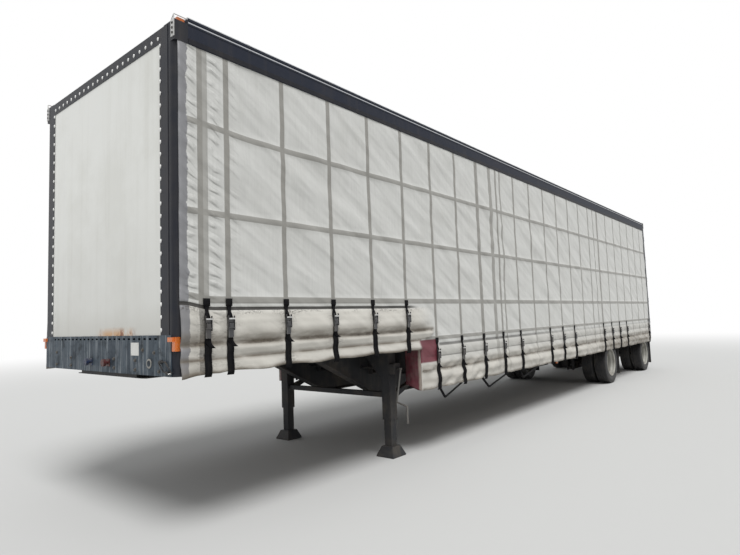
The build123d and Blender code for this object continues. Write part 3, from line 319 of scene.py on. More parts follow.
def ranged(tree, value, low, high, to_low=0.0, to_high=1.0):
    """Map a socket from one range to another, smoothly and clamped."""
    made = node(tree, "ShaderNodeMapRange", interpolation_type="SMOOTHSTEP")
    feed(tree, made.inputs[0], value)
    for index, number in enumerate((low, high, to_low, to_high), start=1):
        feed(tree, made.inputs[index], number)
    return made.outputs[0]


def noise_node(tree, vector, scale, detail=3.0, roughness=0.55, stretch=(1.0, 1.0, 1.0)):
    """Return a noise pattern in metres, with its stretch along each axis."""
    mapping = node(tree, "ShaderNodeMapping")
    feed(tree, mapping.inputs["Scale"], stretch)
    feed(tree, mapping.inputs["Vector"], vector)
    pattern = node(tree, "ShaderNodeTexNoise")
    for name, value in (("Scale", scale), ("Detail", detail), ("Roughness", roughness)):
        feed(tree, pattern.inputs[name], value)
    feed(tree, pattern.inputs["Vector"], mapping.outputs[0])
    return pattern.outputs["Fac"]


def new_group(name, inputs, outputs):
    """Start a node group with a vector and numbers, and return its tree and its sockets at both ends."""
    tree = bpy.data.node_groups.new(name, "ShaderNodeTree")
    tree.interface.new_socket(name="Vector", in_out="INPUT", socket_type="NodeSocketVector")
    for socket_name, default in inputs.items():
        made = tree.interface.new_socket(name=socket_name, in_out="INPUT", socket_type="NodeSocketFloat")
        made.default_value = default
    for socket_name in outputs:
        tree.interface.new_socket(name=socket_name, in_out="OUTPUT", socket_type="NodeSocketFloat")
    return tree, node(tree, "NodeGroupInput").outputs, node(tree, "NodeGroupOutput").inputs


def placed_group(tree, name, **values):
    """Place a node group in a tree with values or sockets for its inputs, and return its outputs."""
    made = node(tree, "ShaderNodeGroup")
    made.node_tree = bpy.data.node_groups[name]
    for key, value in values.items():
        feed(tree, made.inputs[key.replace("_", " ")], value)
    return made.outputs


def make_grime_group():
    """Build the shared grime: blotches and rain streaks, as a mask."""
    inputs = {"Blotch Scale": 3.0, "Streak Scale": 14.0, "Blotches": 0.5, "Streaks": 0.5}
    tree, start, end = new_group("road grime", inputs, ("Mask", "Fine"))
    blotch = noise_node(tree, start["Vector"], start["Blotch Scale"], 5.0, 0.62)
    streak = noise_node(tree, start["Vector"], start["Streak Scale"], 4.0, 0.6, stretch=(1.0, 1.0, 0.06))
    blotch_part = times(tree, ranged(tree, blotch, 0.42, 0.72), start["Blotches"])
    streak_part = times(tree, ranged(tree, streak, 0.45, 0.75), start["Streaks"])
    feed(tree, end["Mask"], math_node(tree, "ADD", blotch_part, streak_part, clamp=True))
    feed(tree, end["Fine"], noise_node(tree, start["Vector"], 160.0, 4.0))


def make_weave_group():
    """Build the shared weave: threads in two directions, as a height and a tone."""
    tree, start, end = new_group("thread weave", {"Threads": 400.0}, ("Height", "Tone"))
    parts = split(tree, start["Vector"])
    waves = [math_node(tree, "SINE", times(tree, parts[index], start["Threads"])) for index in (0, 1)]
    product = times(tree, *waves)
    height = math_node(tree, "MULTIPLY_ADD", product, 0.5)
    feed(tree, end["Height"], height)
    slow = noise_node(tree, start["Vector"], 55.0, 2.0, stretch=(1.0, 0.05, 1.0))
    feed(tree, end["Tone"], ranged(tree, slow, 0.3, 0.7))


def make_rust_group():
    """Build the shared rust: spots that break through paint, as a mask."""
    tree, start, end = new_group("rust spots", {"Scale": 18.0, "Amount": 0.3}, ("Mask",))
    spots = noise_node(tree, start["Vector"], start["Scale"], 8.0, 0.7)
    over = math_node(tree, "SUBTRACT", spots, math_node(tree, "SUBTRACT", 0.86, start["Amount"]))
    feed(tree, end["Mask"], times(tree, over, 9.0, clamp=True))


def make_fold_group():
    """Build the soft folds that run aslant over hung cloth, as a height."""
    tree, start, end = new_group("slanted folds", {"Across": 6.0, "Along": 1.0}, ("Height",))
    parts = split(tree, start["Vector"])
    sine, cosine = math.sin(FOLD_SLANT), math.cos(FOLD_SLANT)
    across = plus(tree, times(tree, parts[0], sine), times(tree, parts[1], cosine))
    along = math_node(tree, "SUBTRACT", times(tree, parts[0], cosine), times(tree, parts[1], sine))
    joined = node(tree, "ShaderNodeCombineXYZ")
    feed(tree, joined.inputs[0], times(tree, across, start["Across"]))
    feed(tree, joined.inputs[1], times(tree, along, start["Along"]))
    folds = noise_node(tree, joined.outputs[0], 1.0, 1.6, 0.5)
    feed(tree, end["Height"], folds)


def make_pucker_group():
    """Build the short slanted puckers beside a sewn band, as a height."""
    tree, start, end = new_group("edge puckers", {"Pitch": 0.085, "Slant": 0.8}, ("Height",))
    parts = split(tree, start["Vector"])
    drift = noise_node(tree, start["Vector"], 4.0, 1.0, 0.5)
    slant = times(tree, parts[0], start["Slant"])
    level = plus(tree, parts[1], slant)
    level = plus(tree, level, times(tree, drift, 0.12))
    turn = times(tree, math_node(tree, "DIVIDE", level, start["Pitch"]), 2 * math.pi)
    wave = ranged(tree, math_node(tree, "SINE", turn), -0.6, 1.0)
    strength = ranged(tree, noise_node(tree, start["Vector"], 7.0, 1.0, 0.5), 0.30, 0.62, 0.15, 1.0)
    feed(tree, end["Height"], times(tree, wave, strength))


def started_material(name):
    """Start a material and return it with its tree, its shader and the object's coordinates."""
    material = bpy.data.materials.new(name)
    material.use_nodes = True
    tree = material.node_tree
    tree.nodes.clear()
    output = node(tree, "ShaderNodeOutputMaterial")
    shader = node(tree, "ShaderNodeBsdfPrincipled")
    feed(tree, output.inputs[0], shader.outputs[0])
    return material, tree, shader, node(tree, "ShaderNodeTexCoord").outputs["Object"]


def closed(material, shader, colour, dull, height, distance, strength):
    """Feed a colour, a roughness and a height to the shader, and return the material."""
    tree = material.node_tree
    feed(tree, shader.inputs["Base Color"], colour)
    feed(tree, shader.inputs["Roughness"], dull)
    bump = node(tree, "ShaderNodeBump")
    feed(tree, bump.inputs["Distance"], distance)
    feed(tree, bump.inputs["Strength"], strength)
    feed(tree, bump.inputs["Height"], height)
    feed(tree, shader.inputs["Normal"], bump.outputs[0])
    return material


def painted(name, colour, roughness=0.45, metallic=0.0, grime=0.35, streaks=0.3, rust=0.0, shine=0.5):
    """Return a paint or metal finish with grime, rain streaks, rust and a fine grain."""
    material, tree, shader, place = started_material(name)
    feed(tree, shader.inputs["Specular IOR Level"], shine)
    dirt = placed_group(tree, "road grime", Vector=place, Blotches=grime, Streaks=streaks)
    shade = mix_colour(tree, dirt["Fine"], *tones(colour, 0.86, 1.12))
    result = mix_colour(tree, dirt["Mask"], shade, GRIME_COLOUR)
    if rust:
        spots = placed_group(tree, "rust spots", Vector=place, Scale=16.0, Amount=rust)
        result = mix_colour(tree, spots["Mask"], result, RUST_COLOUR)
    dull = ranged(tree, dirt["Mask"], 0.0, 1.0, roughness, min(1.0, roughness + 0.35))
    feed(tree, shader.inputs["Metallic"], metallic)
    return closed(material, shader, result, dull, dirt["Fine"], 0.0006, 0.6)


def curtain_finish(colours):
    """Return the coated cloth of the curtains, with its bands, seams, road dirt and painted shade in its
    creases.
    """
    material, tree, shader, solid_place = started_material("curtain_cloth")
    place = node(tree, "ShaderNodeUVMap", uv_map="cloth").outputs[0]
    bands = node(tree, "ShaderNodeVertexColor", layer_name="bands")
    wear = node(tree, "ShaderNodeVertexColor", layer_name="wear")
    band_parts = node(tree, "ShaderNodeSeparateColor")
    marks_and_shade_parts = node(tree, "ShaderNodeSeparateColor")
    feed(tree, band_parts.inputs[0], bands.outputs["Color"])
    feed(tree, marks_and_shade_parts.inputs[0], wear.outputs["Color"])
    weave = placed_group(tree, "thread weave", Vector=place, Threads=1100.0)
    dirt = placed_group(
        tree,
        "road grime",
        Vector=solid_place,
        Blotch_Scale=2.2,
        Streak_Scale=9.0,
        Blotches=0.10,
        Streaks=0.10,
    )
    cloth = mix_colour(
        tree, weave["Tone"], *tones(colours.curtain, 0.965, 1.02)
    )
    skirt_tone = times(tree, band_parts.outputs[1], 0.85)
    cloth = mix_colour(tree, skirt_tone, cloth, (0.595, 0.572, 0.518))
    cloth = mix_colour(tree, dirt["Mask"], cloth, (0.38, 0.37, 0.33))
    band_tone = mix_colour(
        tree, dirt["Fine"], *tones(colours.band, 0.86, 1.14)
    )
    cloth = mix_colour(tree, band_parts.outputs[0], cloth, band_tone)
    # The leading edge is painted grey, with a wavy border
    flat_parts = split(tree, place)
    waver = times(tree, noise_node(tree, place, 6.0, 5.0, 0.70), 0.095)
    edge = plus(tree, flat_parts[0], waver)
    grey_strip = ranged(tree, edge, 0.1530, 0.1490)
    cloth = mix_colour(tree, grey_strip, cloth, (0.225, 0.225, 0.235))
    maroon_tone = mix_colour(
        tree, dirt["Fine"], *tones(colours.maroon, 0.75, 1.3)
    )
    cloth = mix_colour(tree, band_parts.outputs[2], cloth, maroon_tone)
    smear = noise_node(tree, place, 10.0, 6.0, 0.62, stretch=(0.30, 1.0, 1.0))
    specks = noise_node(tree, place, 70.0, 6.0, 0.75, stretch=(0.6, 1.0, 1.0))
    # Brown dirt and dark rub marks, both partly painted shade in the cloth's creases
    dirt_and_crease_shade = times(tree, marks_and_shade_parts.outputs[0], ranged(tree, smear, 0.22, 0.60, 0.30, 1.0))
    cloth = mix_colour(tree, dirt_and_crease_shade, cloth, (0.138, 0.114, 0.084))
    rubbed_and_shaded = times(tree, marks_and_shade_parts.outputs[1], ranged(tree, specks, 0.44, 0.60))
    rubbed_and_shaded = times(tree, rubbed_and_shaded, ranged(tree, smear, 0.40, 0.62))
    cloth = mix_colour(tree, rubbed_and_shaded, cloth, (0.040, 0.031, 0.024))
    cloth = mix_colour(tree, marks_and_shade_parts.outputs[2], cloth, (0.022, 0.019, 0.016))
    dull = ranged(tree, dirt["Fine"], 0.2, 0.8, 0.40, 0.58)
    # Folds over the whole cloth, puckers beside the leading bands, then the threads
    folds = placed_group(tree, "slanted folds", Vector=place, Across=5.6, Along=1.2)
    creases = placed_group(tree, "slanted folds", Vector=place, Across=19.0, Along=4.0)
    puckers = placed_group(tree, "edge puckers", Vector=place, Pitch=0.098, Slant=0.5)
    pucker_height = times(tree, puckers["Height"], bands.outputs["Alpha"])
    height = times(tree, folds["Height"], 3.4)
    height = plus(tree, height, times(tree, creases["Height"], 0.06))
    height = plus(tree, height, times(tree, pucker_height, 1.15))
    height = plus(tree, height, times(tree, weave["Height"], 0.012))
    return closed(material, shader, cloth, dull, height, 0.012, 1.0)


def maroon_finish(colours):
    """Return the maroon cloth of the flaps at the step."""
    material, tree, shader, _solid_place = started_material("flap_cloth")
    place = node(tree, "ShaderNodeUVMap", uv_map="cloth").outputs[0]
    weave = placed_group(tree, "thread weave", Vector=place, Threads=1100.0)
    worn = ranged(tree, noise_node(tree, place, 9.0, 6.0, 0.68), 0.4, 0.72)
    tone = mix_colour(tree, weave["Tone"], *tones(colours.maroon, 0.7, 1.0))
    result = mix_colour(tree, worn, tone, (0.10, 0.062, 0.058))
    flat_parts = split(tree, place)
    waver = times(tree, noise_node(tree, place, 8.0, 4.0, 0.65), 0.03)
    edge = plus(tree, flat_parts[0], waver)
    border = ranged(tree, edge, FLAP_WIDTH - 0.030, FLAP_WIDTH - 0.008)
    result = mix_colour(tree, border, result, (0.30, 0.25, 0.215))
    dull = ranged(tree, worn, 0.0, 1.0, 0.45, 0.75)
    return closed(material, shader, result, dull, weave["Height"], 0.0004, 0.4)


def webbing_finish():
    """Return the black webbing of the straps, with its ribs and dust."""
    material, tree, shader, solid_place = started_material("strap_webbing_black")
    place = node(tree, "ShaderNodeUVMap", uv_map="cloth").outputs[0]
    weave = placed_group(tree, "thread weave", Vector=place, Threads=2400.0)
    dust = ranged(tree, noise_node(tree, solid_place, 14.0, 6.0, 0.7), 0.45, 0.75)
    tone = mix_colour(tree, weave["Tone"], (0.004, 0.004, 0.005), (0.010, 0.010, 0.011))
    feed(tree, shader.inputs["Specular IOR Level"], 0.06)
    result = mix_colour(tree, times(tree, dust, 0.20), tone, (0.07, 0.062, 0.052))
    dull = ranged(tree, dust, 0.0, 1.0, 0.62, 0.85)
    return closed(material, shader, result, dull, weave["Height"], 0.0007, 0.7)


def panel_finish(colours):
    """Return the white sheet of the front wall, with faint stains and rust along its foot."""
    material, tree, shader, place = started_material("front_sheet_white")
    parts = split(tree, place)
    dirt = placed_group(
        tree, "road grime", Vector=place, Blotch_Scale=1.6, Streak_Scale=7.0, Blotches=0.22, Streaks=0.20
    )
    colour = mix_colour(
        tree, dirt["Fine"], *tones(colours.panel, 0.97, 1.01)
    )
    colour = mix_colour(tree, dirt["Mask"], colour, (0.52, 0.51, 0.45))
    # Darker towards the bottom of the sheet
    dull = ranged(tree, parts[2], PANEL_LOW.z + 1.6, PANEL_LOW.z, 0.0, 0.36)
    colour = mix_colour(tree, dull, colour, (0.50, 0.495, 0.465))
    low = ranged(tree, parts[2], PANEL_LOW.z + 0.30, PANEL_LOW.z, 0.0, 1.0)
    colour = mix_colour(tree, times(tree, low, 0.35), colour, (0.40, 0.38, 0.33))
    near = ranged(tree, parts[2], PANEL_LOW.z + 0.085, PANEL_LOW.z + 0.012, 0.0, 1.0)
    left_edge = ranged(tree, parts[0], -0.10, 0.16, 0.0, 1.0)
    right_edge = ranged(tree, parts[0], 0.74, 0.50, 0.0, 1.0)
    zone = times(tree, times(tree, left_edge, right_edge), near)
    spots = ranged(tree, noise_node(tree, place, 11.0, 7.0, 0.7, stretch=(1.0, 1.0, 0.9)), 0.49, 0.60)
    clouds = noise_node(tree, place, 7.0, 4.0, 0.6, stretch=(1.0, 1.0, 0.7))
    halo = ranged(tree, clouds, 0.34, 0.54, 0.0, 0.85)
    colour = mix_colour(tree, times(tree, zone, halo), colour, (0.56, 0.295, 0.105))
    stain = times(tree, zone, spots, clamp=True)
    colour = mix_colour(tree, stain, colour, (0.21, 0.068, 0.022))
    dull = ranged(tree, dirt["Mask"], 0.0, 1.0, 0.38, 0.6)
    return closed(material, shader, colour, dull, dirt["Fine"], 0.0003, 0.4)


def bulkhead_finish(colours):
    """Return the weathered blue-grey steel of the bulkhead, with pale rain streaks."""
    material, tree, shader, place = started_material("bulkhead_steel")
    wide = noise_node(tree, place, 7.0, 5.0, 0.65, stretch=(1.0, 1.0, 0.10))
    thin = noise_node(tree, place, 38.0, 4.0, 0.6, stretch=(1.0, 1.0, 0.045))
    blotch = noise_node(tree, place, 6.0, 6.0, 0.7)
    base = mix_colour(tree, ranged(tree, wide, 0.38, 0.70), colours.bulkhead, (0.070, 0.092, 0.114))
    base = mix_colour(
        tree, times(tree, ranged(tree, thin, 0.50, 0.70), 0.85), base, (0.22, 0.245, 0.265)
    )
    base = mix_colour(
        tree, times(tree, ranged(tree, blotch, 0.48, 0.70), 0.85), base, (0.014, 0.018, 0.022)
    )
    spots = placed_group(tree, "rust spots", Vector=place, Scale=11.0, Amount=0.16)
    base = mix_colour(tree, spots["Mask"], base, (0.13, 0.085, 0.06))
    feed(tree, shader.inputs["Specular IOR Level"], 0.3)
    return closed(material, shader, base, ranged(tree, blotch, 0.3, 0.7, 0.45, 0.7), thin, 0.0008, 0.5)


def plank_finish():
    """Return the hardwood boards of the decks."""
    material, tree, shader, place = started_material("deck_boards")
    parts = split(tree, place)
    board = times(tree, parts[0], 1.0 / 0.19)
    share = math_node(tree, "FRACT", board)
    gap = ranged(tree, math_node(tree, "ABSOLUTE", math_node(tree, "SUBTRACT", share, 0.5)), 0.478, 0.49)
    number = math_node(tree, "FLOOR", board)
    tone = node(tree, "ShaderNodeTexWhiteNoise", noise_dimensions="1D")
    feed(tree, tone.inputs["W"], number)
    grain = noise_node(tree, place, 24.0, 6.0, 0.62, stretch=(1.0, 0.05, 1.0))
    colour = mix_colour(tree, grain, (0.20, 0.13, 0.075), (0.40, 0.29, 0.18))
    colour = mix_colour(tree, times(tree, tone.outputs["Value"], 0.35), colour, (0.16, 0.13, 0.10))
    colour = mix_colour(tree, gap, colour, (0.02, 0.017, 0.014))
    dull = ranged(tree, grain, 0.2, 0.8, 0.55, 0.8)
    return closed(material, shader, colour, dull, math_node(tree, "SUBTRACT", grain, gap), 0.002, 0.6)


def rubber_finish(name, colour, dust=0.5):
    """Return black rubber with dried mud and scuffs."""
    material, tree, shader, place = started_material(name)
    blotch = ranged(tree, noise_node(tree, place, 7.0, 6.0, 0.7), 0.42, 0.75)
    fine = noise_node(tree, place, 220.0, 3.0)
    tone = mix_colour(tree, fine, *tones(colour, 0.7, 1.4))
    result = mix_colour(tree, times(tree, blotch, dust), tone, (0.095, 0.085, 0.074))
    dull = ranged(tree, blotch, 0.0, 1.0, 0.58, 0.88)
    return closed(material, shader, result, dull, fine, 0.0008, 0.6)


def lens_finish(name, colour):
    """Return a ribbed plastic lamp lens."""
    material, tree, shader, place = started_material(name)
    parts = split(tree, place)
    across = plus(tree, parts[0], parts[1])
    ribs = math_node(tree, "SINE", times(tree, across, 900.0))
    dust = ranged(tree, noise_node(tree, place, 40.0, 5.0, 0.7), 0.45, 0.75)
    # The ribs' troughs are painted darker: painted shade between the ribs
    tone = mix_colour(tree, ranged(tree, ribs, -1.0, 1.0), *tones(colour, 0.62, 1.0))
    result = mix_colour(tree, times(tree, dust, 0.22), tone, (0.25, 0.19, 0.13))
    feed(tree, shader.inputs["Coat Weight"], 0.4)
    return closed(material, shader, result, ranged(tree, dust, 0.0, 1.0, 0.18, 0.5), ribs, 0.0012, 0.6)


def gladhand_finish():
    """Return the couplings' paint, one blue and one red."""
    material, tree, shader, place = started_material("coupling_paint")
    parts = split(tree, place)
    side = math_node(tree, "GREATER_THAN", parts[0], 0.0)
    tone = mix_colour(tree, side, (0.014, 0.026, 0.066), (0.075, 0.012, 0.012))
    dust = ranged(tree, noise_node(tree, place, 45.0, 5.0, 0.7), 0.4, 0.7)
    result = mix_colour(tree, times(tree, dust, 0.7), tone, (0.05, 0.045, 0.04))
    return closed(material, shader, result, ranged(tree, dust, 0.0, 1.0, 0.35, 0.7), dust, 0.0005, 0.5)


# Each plain finish: its slot, its colour property or colour, then the settings of painted
PLAIN_FINISHES = (
    (
        "chassis_paint",
        "chassis",
        {"roughness": 0.55, "grime": 0.5, "streaks": 0.2, "rust": 0.1, "shine": 0.25},
    ),
    ("frame_dark", "frame_paint", {"roughness": 0.42, "grime": 0.10, "streaks": 0.14, "shine": 0.22}),
    ("rail_dark", "rail", {"roughness": 0.50, "grime": 0.06, "streaks": 0.08, "shine": 0.12}),
    ("roof_skin", (0.62, 0.63, 0.64), {"roughness": 0.40, "metallic": 0.5, "grime": 0.14, "streaks": 0.1}),
    ("galvanised", (0.60, 0.60, 0.59), {"roughness": 0.46, "metallic": 0.35, "grime": 0.25}),
    ("buckle_steel", (0.075, 0.075, 0.078), {"roughness": 0.35, "metallic": 0.6, "grime": 0.3}),
    ("kingpin_steel", (0.20, 0.19, 0.18), {"roughness": 0.35, "metallic": 0.9, "grime": 0.5}),
    ("crank_steel", (0.17, 0.165, 0.155), {"roughness": 0.45, "metallic": 0.4, "grime": 0.3, "rust": 0.12}),
    ("disc_white", "wheel", {"roughness": 0.5, "grime": 0.9, "streaks": 0.15, "rust": 0.25}),
    ("hub_iron", (0.10, 0.095, 0.088), {"roughness": 0.5, "metallic": 0.3, "grime": 0.5, "rust": 0.25}),
    ("door_white", (0.74, 0.74, 0.72), {"roughness": 0.40, "grime": 0.22, "streaks": 0.30}),
    ("bare_steel", (0.62, 0.62, 0.61), {"roughness": 0.28, "metallic": 0.9, "grime": 0.15, "streaks": 0.1}),
    (
        "lock_steel",
        (0.36, 0.365, 0.37),
        {"roughness": 0.42, "metallic": 0.5, "grime": 0.35, "streaks": 0.35},
    ),
    ("plate_grey", (0.34, 0.335, 0.31), {"roughness": 0.45, "metallic": 0.2, "grime": 0.3, "streaks": 0.1}),
    ("rivet_white", (0.80, 0.80, 0.78), {"roughness": 0.35, "grime": 0.12, "streaks": 0.1}),
    ("label_white", (0.70, 0.70, 0.67), {"roughness": 0.5, "grime": 0.15, "streaks": 0.2}),
    # Near black for the rail's lip strip: painted shadow
    ("lip_black", (0.009, 0.010, 0.015), {"roughness": 0.5, "grime": 0.06, "streaks": 0.1, "shine": 0.2}),
    ("rail_line", (0.48, 0.49, 0.51), {"roughness": 0.3, "metallic": 0.6, "grime": 0.12, "streaks": 0.05}),
)


def make_finishes(colours):
    """Build the node groups and every finish, and return the finishes by slot."""
    make_grime_group()
    make_weave_group()
    make_rust_group()
    make_fold_group()
    make_pucker_group()
    finishes = {}
    for slot, colour, settings in PLAIN_FINISHES:
        value = getattr(colours, colour) if isinstance(colour, str) else colour
        finishes[slot] = painted(slot + "_finish", list(value), **settings)
    finishes["curtain_fabric"] = curtain_finish(colours)
    finishes["flap_fabric"] = maroon_finish(colours)
    finishes["webbing_black"] = webbing_finish()
    finishes["panel_white"] = panel_finish(colours)
    finishes["bulkhead_paint"] = bulkhead_finish(colours)
    finishes["hardwood"] = plank_finish()
    finishes["tyre_rubber"] = rubber_finish("tyre_rubber_finish", list(colours.rubber))
    finishes["rubber_black"] = rubber_finish("rubber_black_finish", list(colours.rubber), 0.4)
    finishes["lamp_amber"] = lens_finish("lamp_amber_lens", (0.86, 0.20, 0.018))
    finishes["lamp_red"] = lens_finish("lamp_red_lens", (0.42, 0.015, 0.012))
    finishes["gladhand_paint"] = gladhand_finish()
    return finishes


FINISHES = {}

# Nodes whose finish differs from the one of their slot
NODE_FINISHES = {
    "door_left_locks": "lock_steel",
    "door_right_locks": "lock_steel",
    "door_left_hinges": "lock_steel",
    "door_right_hinges": "lock_steel",
}


# Mesh helpers


def finished(name, bm, slots, body="frame", smooth=True):
    """Make an object of a bmesh, give it its finishes and let it ride on its body."""
    mesh = bpy.data.meshes.new(name)
    bm.to_mesh(mesh)
    bm.free()
    obj = bpy.data.objects.new(name, mesh)
    bpy.context.scene.collection.objects.link(obj)
    for slot in slots:
        mesh.materials.append(FINISHES[slot])
    for polygon in mesh.polygons:
        polygon.use_smooth = smooth
    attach(obj, body)
    return obj


def sharp_by_angle(obj, degrees=35.0):
    """Split the shading of an object at its sharp edges."""
    obj.data.set_sharp_from_angle(angle=math.radians(degrees))


def add_box(bm, corner, opposite, bevel=0.0, edge_slot=0, segments=2):
    """Add a box between two opposite corners, with bevelled edges that may have a finish of their own."""
    verts = bmesh.ops.create_cube(bm, size=1.0)["verts"]
    bmesh.ops.scale(bm, vec=[abs(b - a) for a, b in zip(corner, opposite)], verts=verts)
    bmesh.ops.translate(bm, vec=[(a + b) / 2 for a, b in zip(corner, opposite)], verts=verts)
    if bevel:
        made = bmesh.ops.bevel(
            bm,
            geom=list(dict.fromkeys(edge for vert in verts for edge in vert.link_edges)),
            offset=bevel,
            offset_type="OFFSET",
            segments=segments,
            profile=0.5,
            affect="EDGES",
            material=-1,
        )
        for face in made["faces"]:
            face.material_index = edge_slot


def add_rod(bm, start, end, radius, segments=12, slot=0):
    """Add a closed round rod from one point to another."""
    start = Vector(start)
    run = Vector(end) - start
    turn = run.to_track_quat("Z", "Y").to_matrix().to_4x4()
    made = bmesh.ops.create_cone(
        bm,
        cap_ends=True,
        segments=segments,
        radius1=radius,
        radius2=radius,
        depth=run.length,
        matrix=Matrix.Translation(start + run / 2) @ turn,
    )
    for face in {face for vert in made["verts"] for face in vert.link_faces}:
        face.material_index = slot


def add_stack(bm, foot, way, layers):
    """Add rods along one line: each has its start, its end, its radius, its sides and its slot."""
    for start, end, *shape in layers:
        first = [middle + part * start for middle, part in zip(foot, way)]
        last = [middle + part * end for middle, part in zip(foot, way)]
        add_rod(bm, first, last, *shape)


def add_ball(bm, place, radius, segments, rings, stretch=None):
    """Add a ball, stretched to a size."""
    made = bmesh.ops.create_uvsphere(bm, u_segments=segments, v_segments=rings, radius=radius)
    if stretch:
        bmesh.ops.scale(bm, vec=stretch, verts=made["verts"])
    bmesh.ops.translate(bm, vec=place, verts=made["verts"])


def add_turned(bm, points, steps):
    """Add a closed ring turned from (along, radius) points about the X axis."""
    verts = [bm.verts.new((along, radius, 0.0)) for along, radius in points]
    edges = [bm.edges.new(pair) for pair in zip(verts, verts[1:] + verts[:1])]
    bmesh.ops.spin(
        bm,
        geom=verts + edges,
        cent=(0, 0, 0),
        axis=(1, 0, 0),
        angle=2 * math.pi,
        steps=steps,
        use_merge=True,
    )
    bmesh.ops.remove_doubles(bm, verts=list(bm.verts), dist=1e-6)


def faced_outward(bm):
    """Turn every face of a mesh outward."""
    bmesh.ops.recalc_face_normals(bm, faces=list(bm.faces))
    return bm


def around(middle, radius, count, shift=0.0):
    """Return evenly spaced (y, z) places on a circle."""
    angles = [2 * math.pi * (index + shift) / count for index in range(count)]
    return [(middle.y + radius * math.cos(angle), middle.z + radius * math.sin(angle)) for angle in angles]


def spread(low, high, count):
    """Return evenly spread numbers, ends included."""
    return [low + (high - low) * index / count for index in range(count + 1)]


def bell(value, centre, half):
    """Return a smooth bump of height one."""
    return math.exp(-(((value - centre) / half) ** 2))


def step_up(value, low, high):
    """Return a smooth step from zero to one."""
    share = min(1.0, max(0.0, (value - low) / (high - low)))
    return share * share * (3 - 2 * share)


def step_down(value, low, high):
    """Return a smooth step from one to zero."""
    return 1 - step_up(value, low, high)


def rough(x, y, seed, octaves=2):
    """Return smooth noise from about -1 to 1."""
    total = 0.0
    size = 1.0
    for octave in range(octaves):
        total += size * noise.noise(Vector((x, y, seed + 17.3 * octave)))
        x, y, size = 2 * x, 2 * y, size / 2
    return total * 1.4


def strap_pull(place, height):
    """Return how much a strap holds the cloth in, from zero to one."""
    pull = 0.0
    for strap, top, hem in STRAPS:
        near = bell(place, strap, 0.085)
        if near > 0.02:
            reach = step_up(height, hem - 0.2, hem - 0.1) * step_down(height, top, top + 0.12)
            pull = max(pull, near * reach)
    return pull


def profile(height, section):
    """Return how far a skirt's cross section stands out at a height."""
    if height >= section[0][0]:
        return 0.0
    for (above, first), (below, second) in zip(section, section[1:]):
        if height >= below:
            return first + (second - first) * step_up(above - height, 0.0, above - below)
    return section[-1][1]


def front_share(place, height):
    """Return how much of the upper skirt there is at a place: its roll fades, its fold ends in a curve."""
    if height < 1.386:
        return step_down(place, STEP - 0.004, STEP + 0.030)
    fold_end = STEP + 0.325 - 0.10 * step_up(1.470 - height, 0.0, 0.09)
    fold = step_down(place, fold_end - 0.07, fold_end)
    roll = step_down(place, STEP - 0.15, STEP + 0.40)
    share = step_up(height, 1.500, 1.550)
    return fold + (roll - fold) * share


def skirt_profile(place, height, depth):
    """Return how far the skirt of the curtain stands out."""
    upper = front_share(place, height)
    lower = step_up(place, STEP + 0.02, STEP + 0.26)
    out = upper * profile(height, UPPER_SKIRT) if upper else 0.0
    out += lower * profile(height, LOWER_SKIRT) if lower else 0.0
    return depth * out


def cloth_out(place, height, sizes, seed):
    """Return how far the curtain stands out from its plain face."""
    across = place * math.sin(FOLD_SLANT) + height * math.cos(FOLD_SLANT)
    along = place * math.cos(FOLD_SLANT) - height * math.sin(FOLD_SLANT)
    lead = step_down(place, 0.44, 0.52)
    calm = 1 - 0.40 * step_up(place, 6.5, 10.0)
    body = step_up(height, 1.86, 2.15) * step_down(height, 3.75, 4.0)
    wrinkle = rough(across * 4.4, along * 1.0, seed, 2) * sizes.wrinkle_depth
    wrinkle *= 1 - 0.45 * step_up(height, 3.1, 3.4)
    grid = abs(((place - WEB_OFFSET) / WEB_PITCH + 0.5) % 1.0 - 0.5) * WEB_PITCH
    hold = 0.40 + 0.60 * step_up(grid, 0.02, 0.16)
    out = 0.006 + wrinkle * calm * hold * (1 - 0.8 * lead) * (0.35 + 0.65 * body)
    # The leading edge wavers where it is rolled round its pole
    out += 0.010 * bell(place, 0.055, 0.030) * (1 + 0.35 * rough(1.0, height * 3.2, seed + 2))
    pull = strap_pull(place, height)
    skirt = skirt_profile(place, height, sizes.skirt_depth)
    uneven = 1 + 0.20 * rough(place * 1.7, height * 5.0, seed + 9)
    out += skirt * uneven * (1 - 0.72 * pull) * (1 - 0.5 * lead)
    # Crumples that run down and back through the lower skirt
    lower_zone = step_up(place, STEP + 0.02, STEP + 0.2) * step_down(height, 1.00, 1.12)
    crumple = rough(place * 2.2 + height * 1.2, height * 9.5 - place * 5.2, seed + 11)
    corner = 1 + 0.9 * step_down(place, STEP + 0.7, STEP + 1.5)
    out += lower_zone * 0.014 * corner * crumple * (1 - 0.5 * pull)
    upper_zone = step_down(place, 3.2, 3.5) * step_down(height, 1.38, 1.47)
    out += upper_zone * 0.011 * rough(place * 3.0 + height * 5.0, height * 9.0, seed + 13)
    # The front lower corner curls out, and the corner at the step is drawn in to meet the flap
    out += 0.016 * bell(place, 0.03, 0.05) * step_down(height, 1.27, 1.40)
    if height < UPPER_HEM - 0.002:
        out *= 0.30 + 0.70 * step_up(place, STEP + 0.01, STEP + 0.12)
    return max(out, LEAST_OUT)


def hem_drop(place, seed, lower):
    """Return how far the ragged hem hangs below its line."""
    gap = min(abs(place - strap) for strap, _top, _hem in STRAPS)
    sag = 0.006 * step_up(gap, 0.03, 0.25) + 0.022 * step_down(place, 0.05, 0.50)
    wave = 0.007 * rough(place * 3.1, 4.0 if lower else 8.0, seed, 3)
    return wave - sag


def band_edges(middle, half):
    """Return the places at a band's edges, and just outside them."""
    return [middle + edge for edge in (-half - 0.003, -half, half, half + 0.003)]


def filled(marks, widest):
    """Return the marks in order, with places between them no further apart than the widest step there."""
    marks = sorted(marks)
    places = marks[:1]
    for mark in marks[1:]:
        gap = mark - places[-1]
        if gap >= 0.002:
            places += spread(places[-1], mark, max(1, math.ceil(gap / widest(mark))))[1:]
    return places


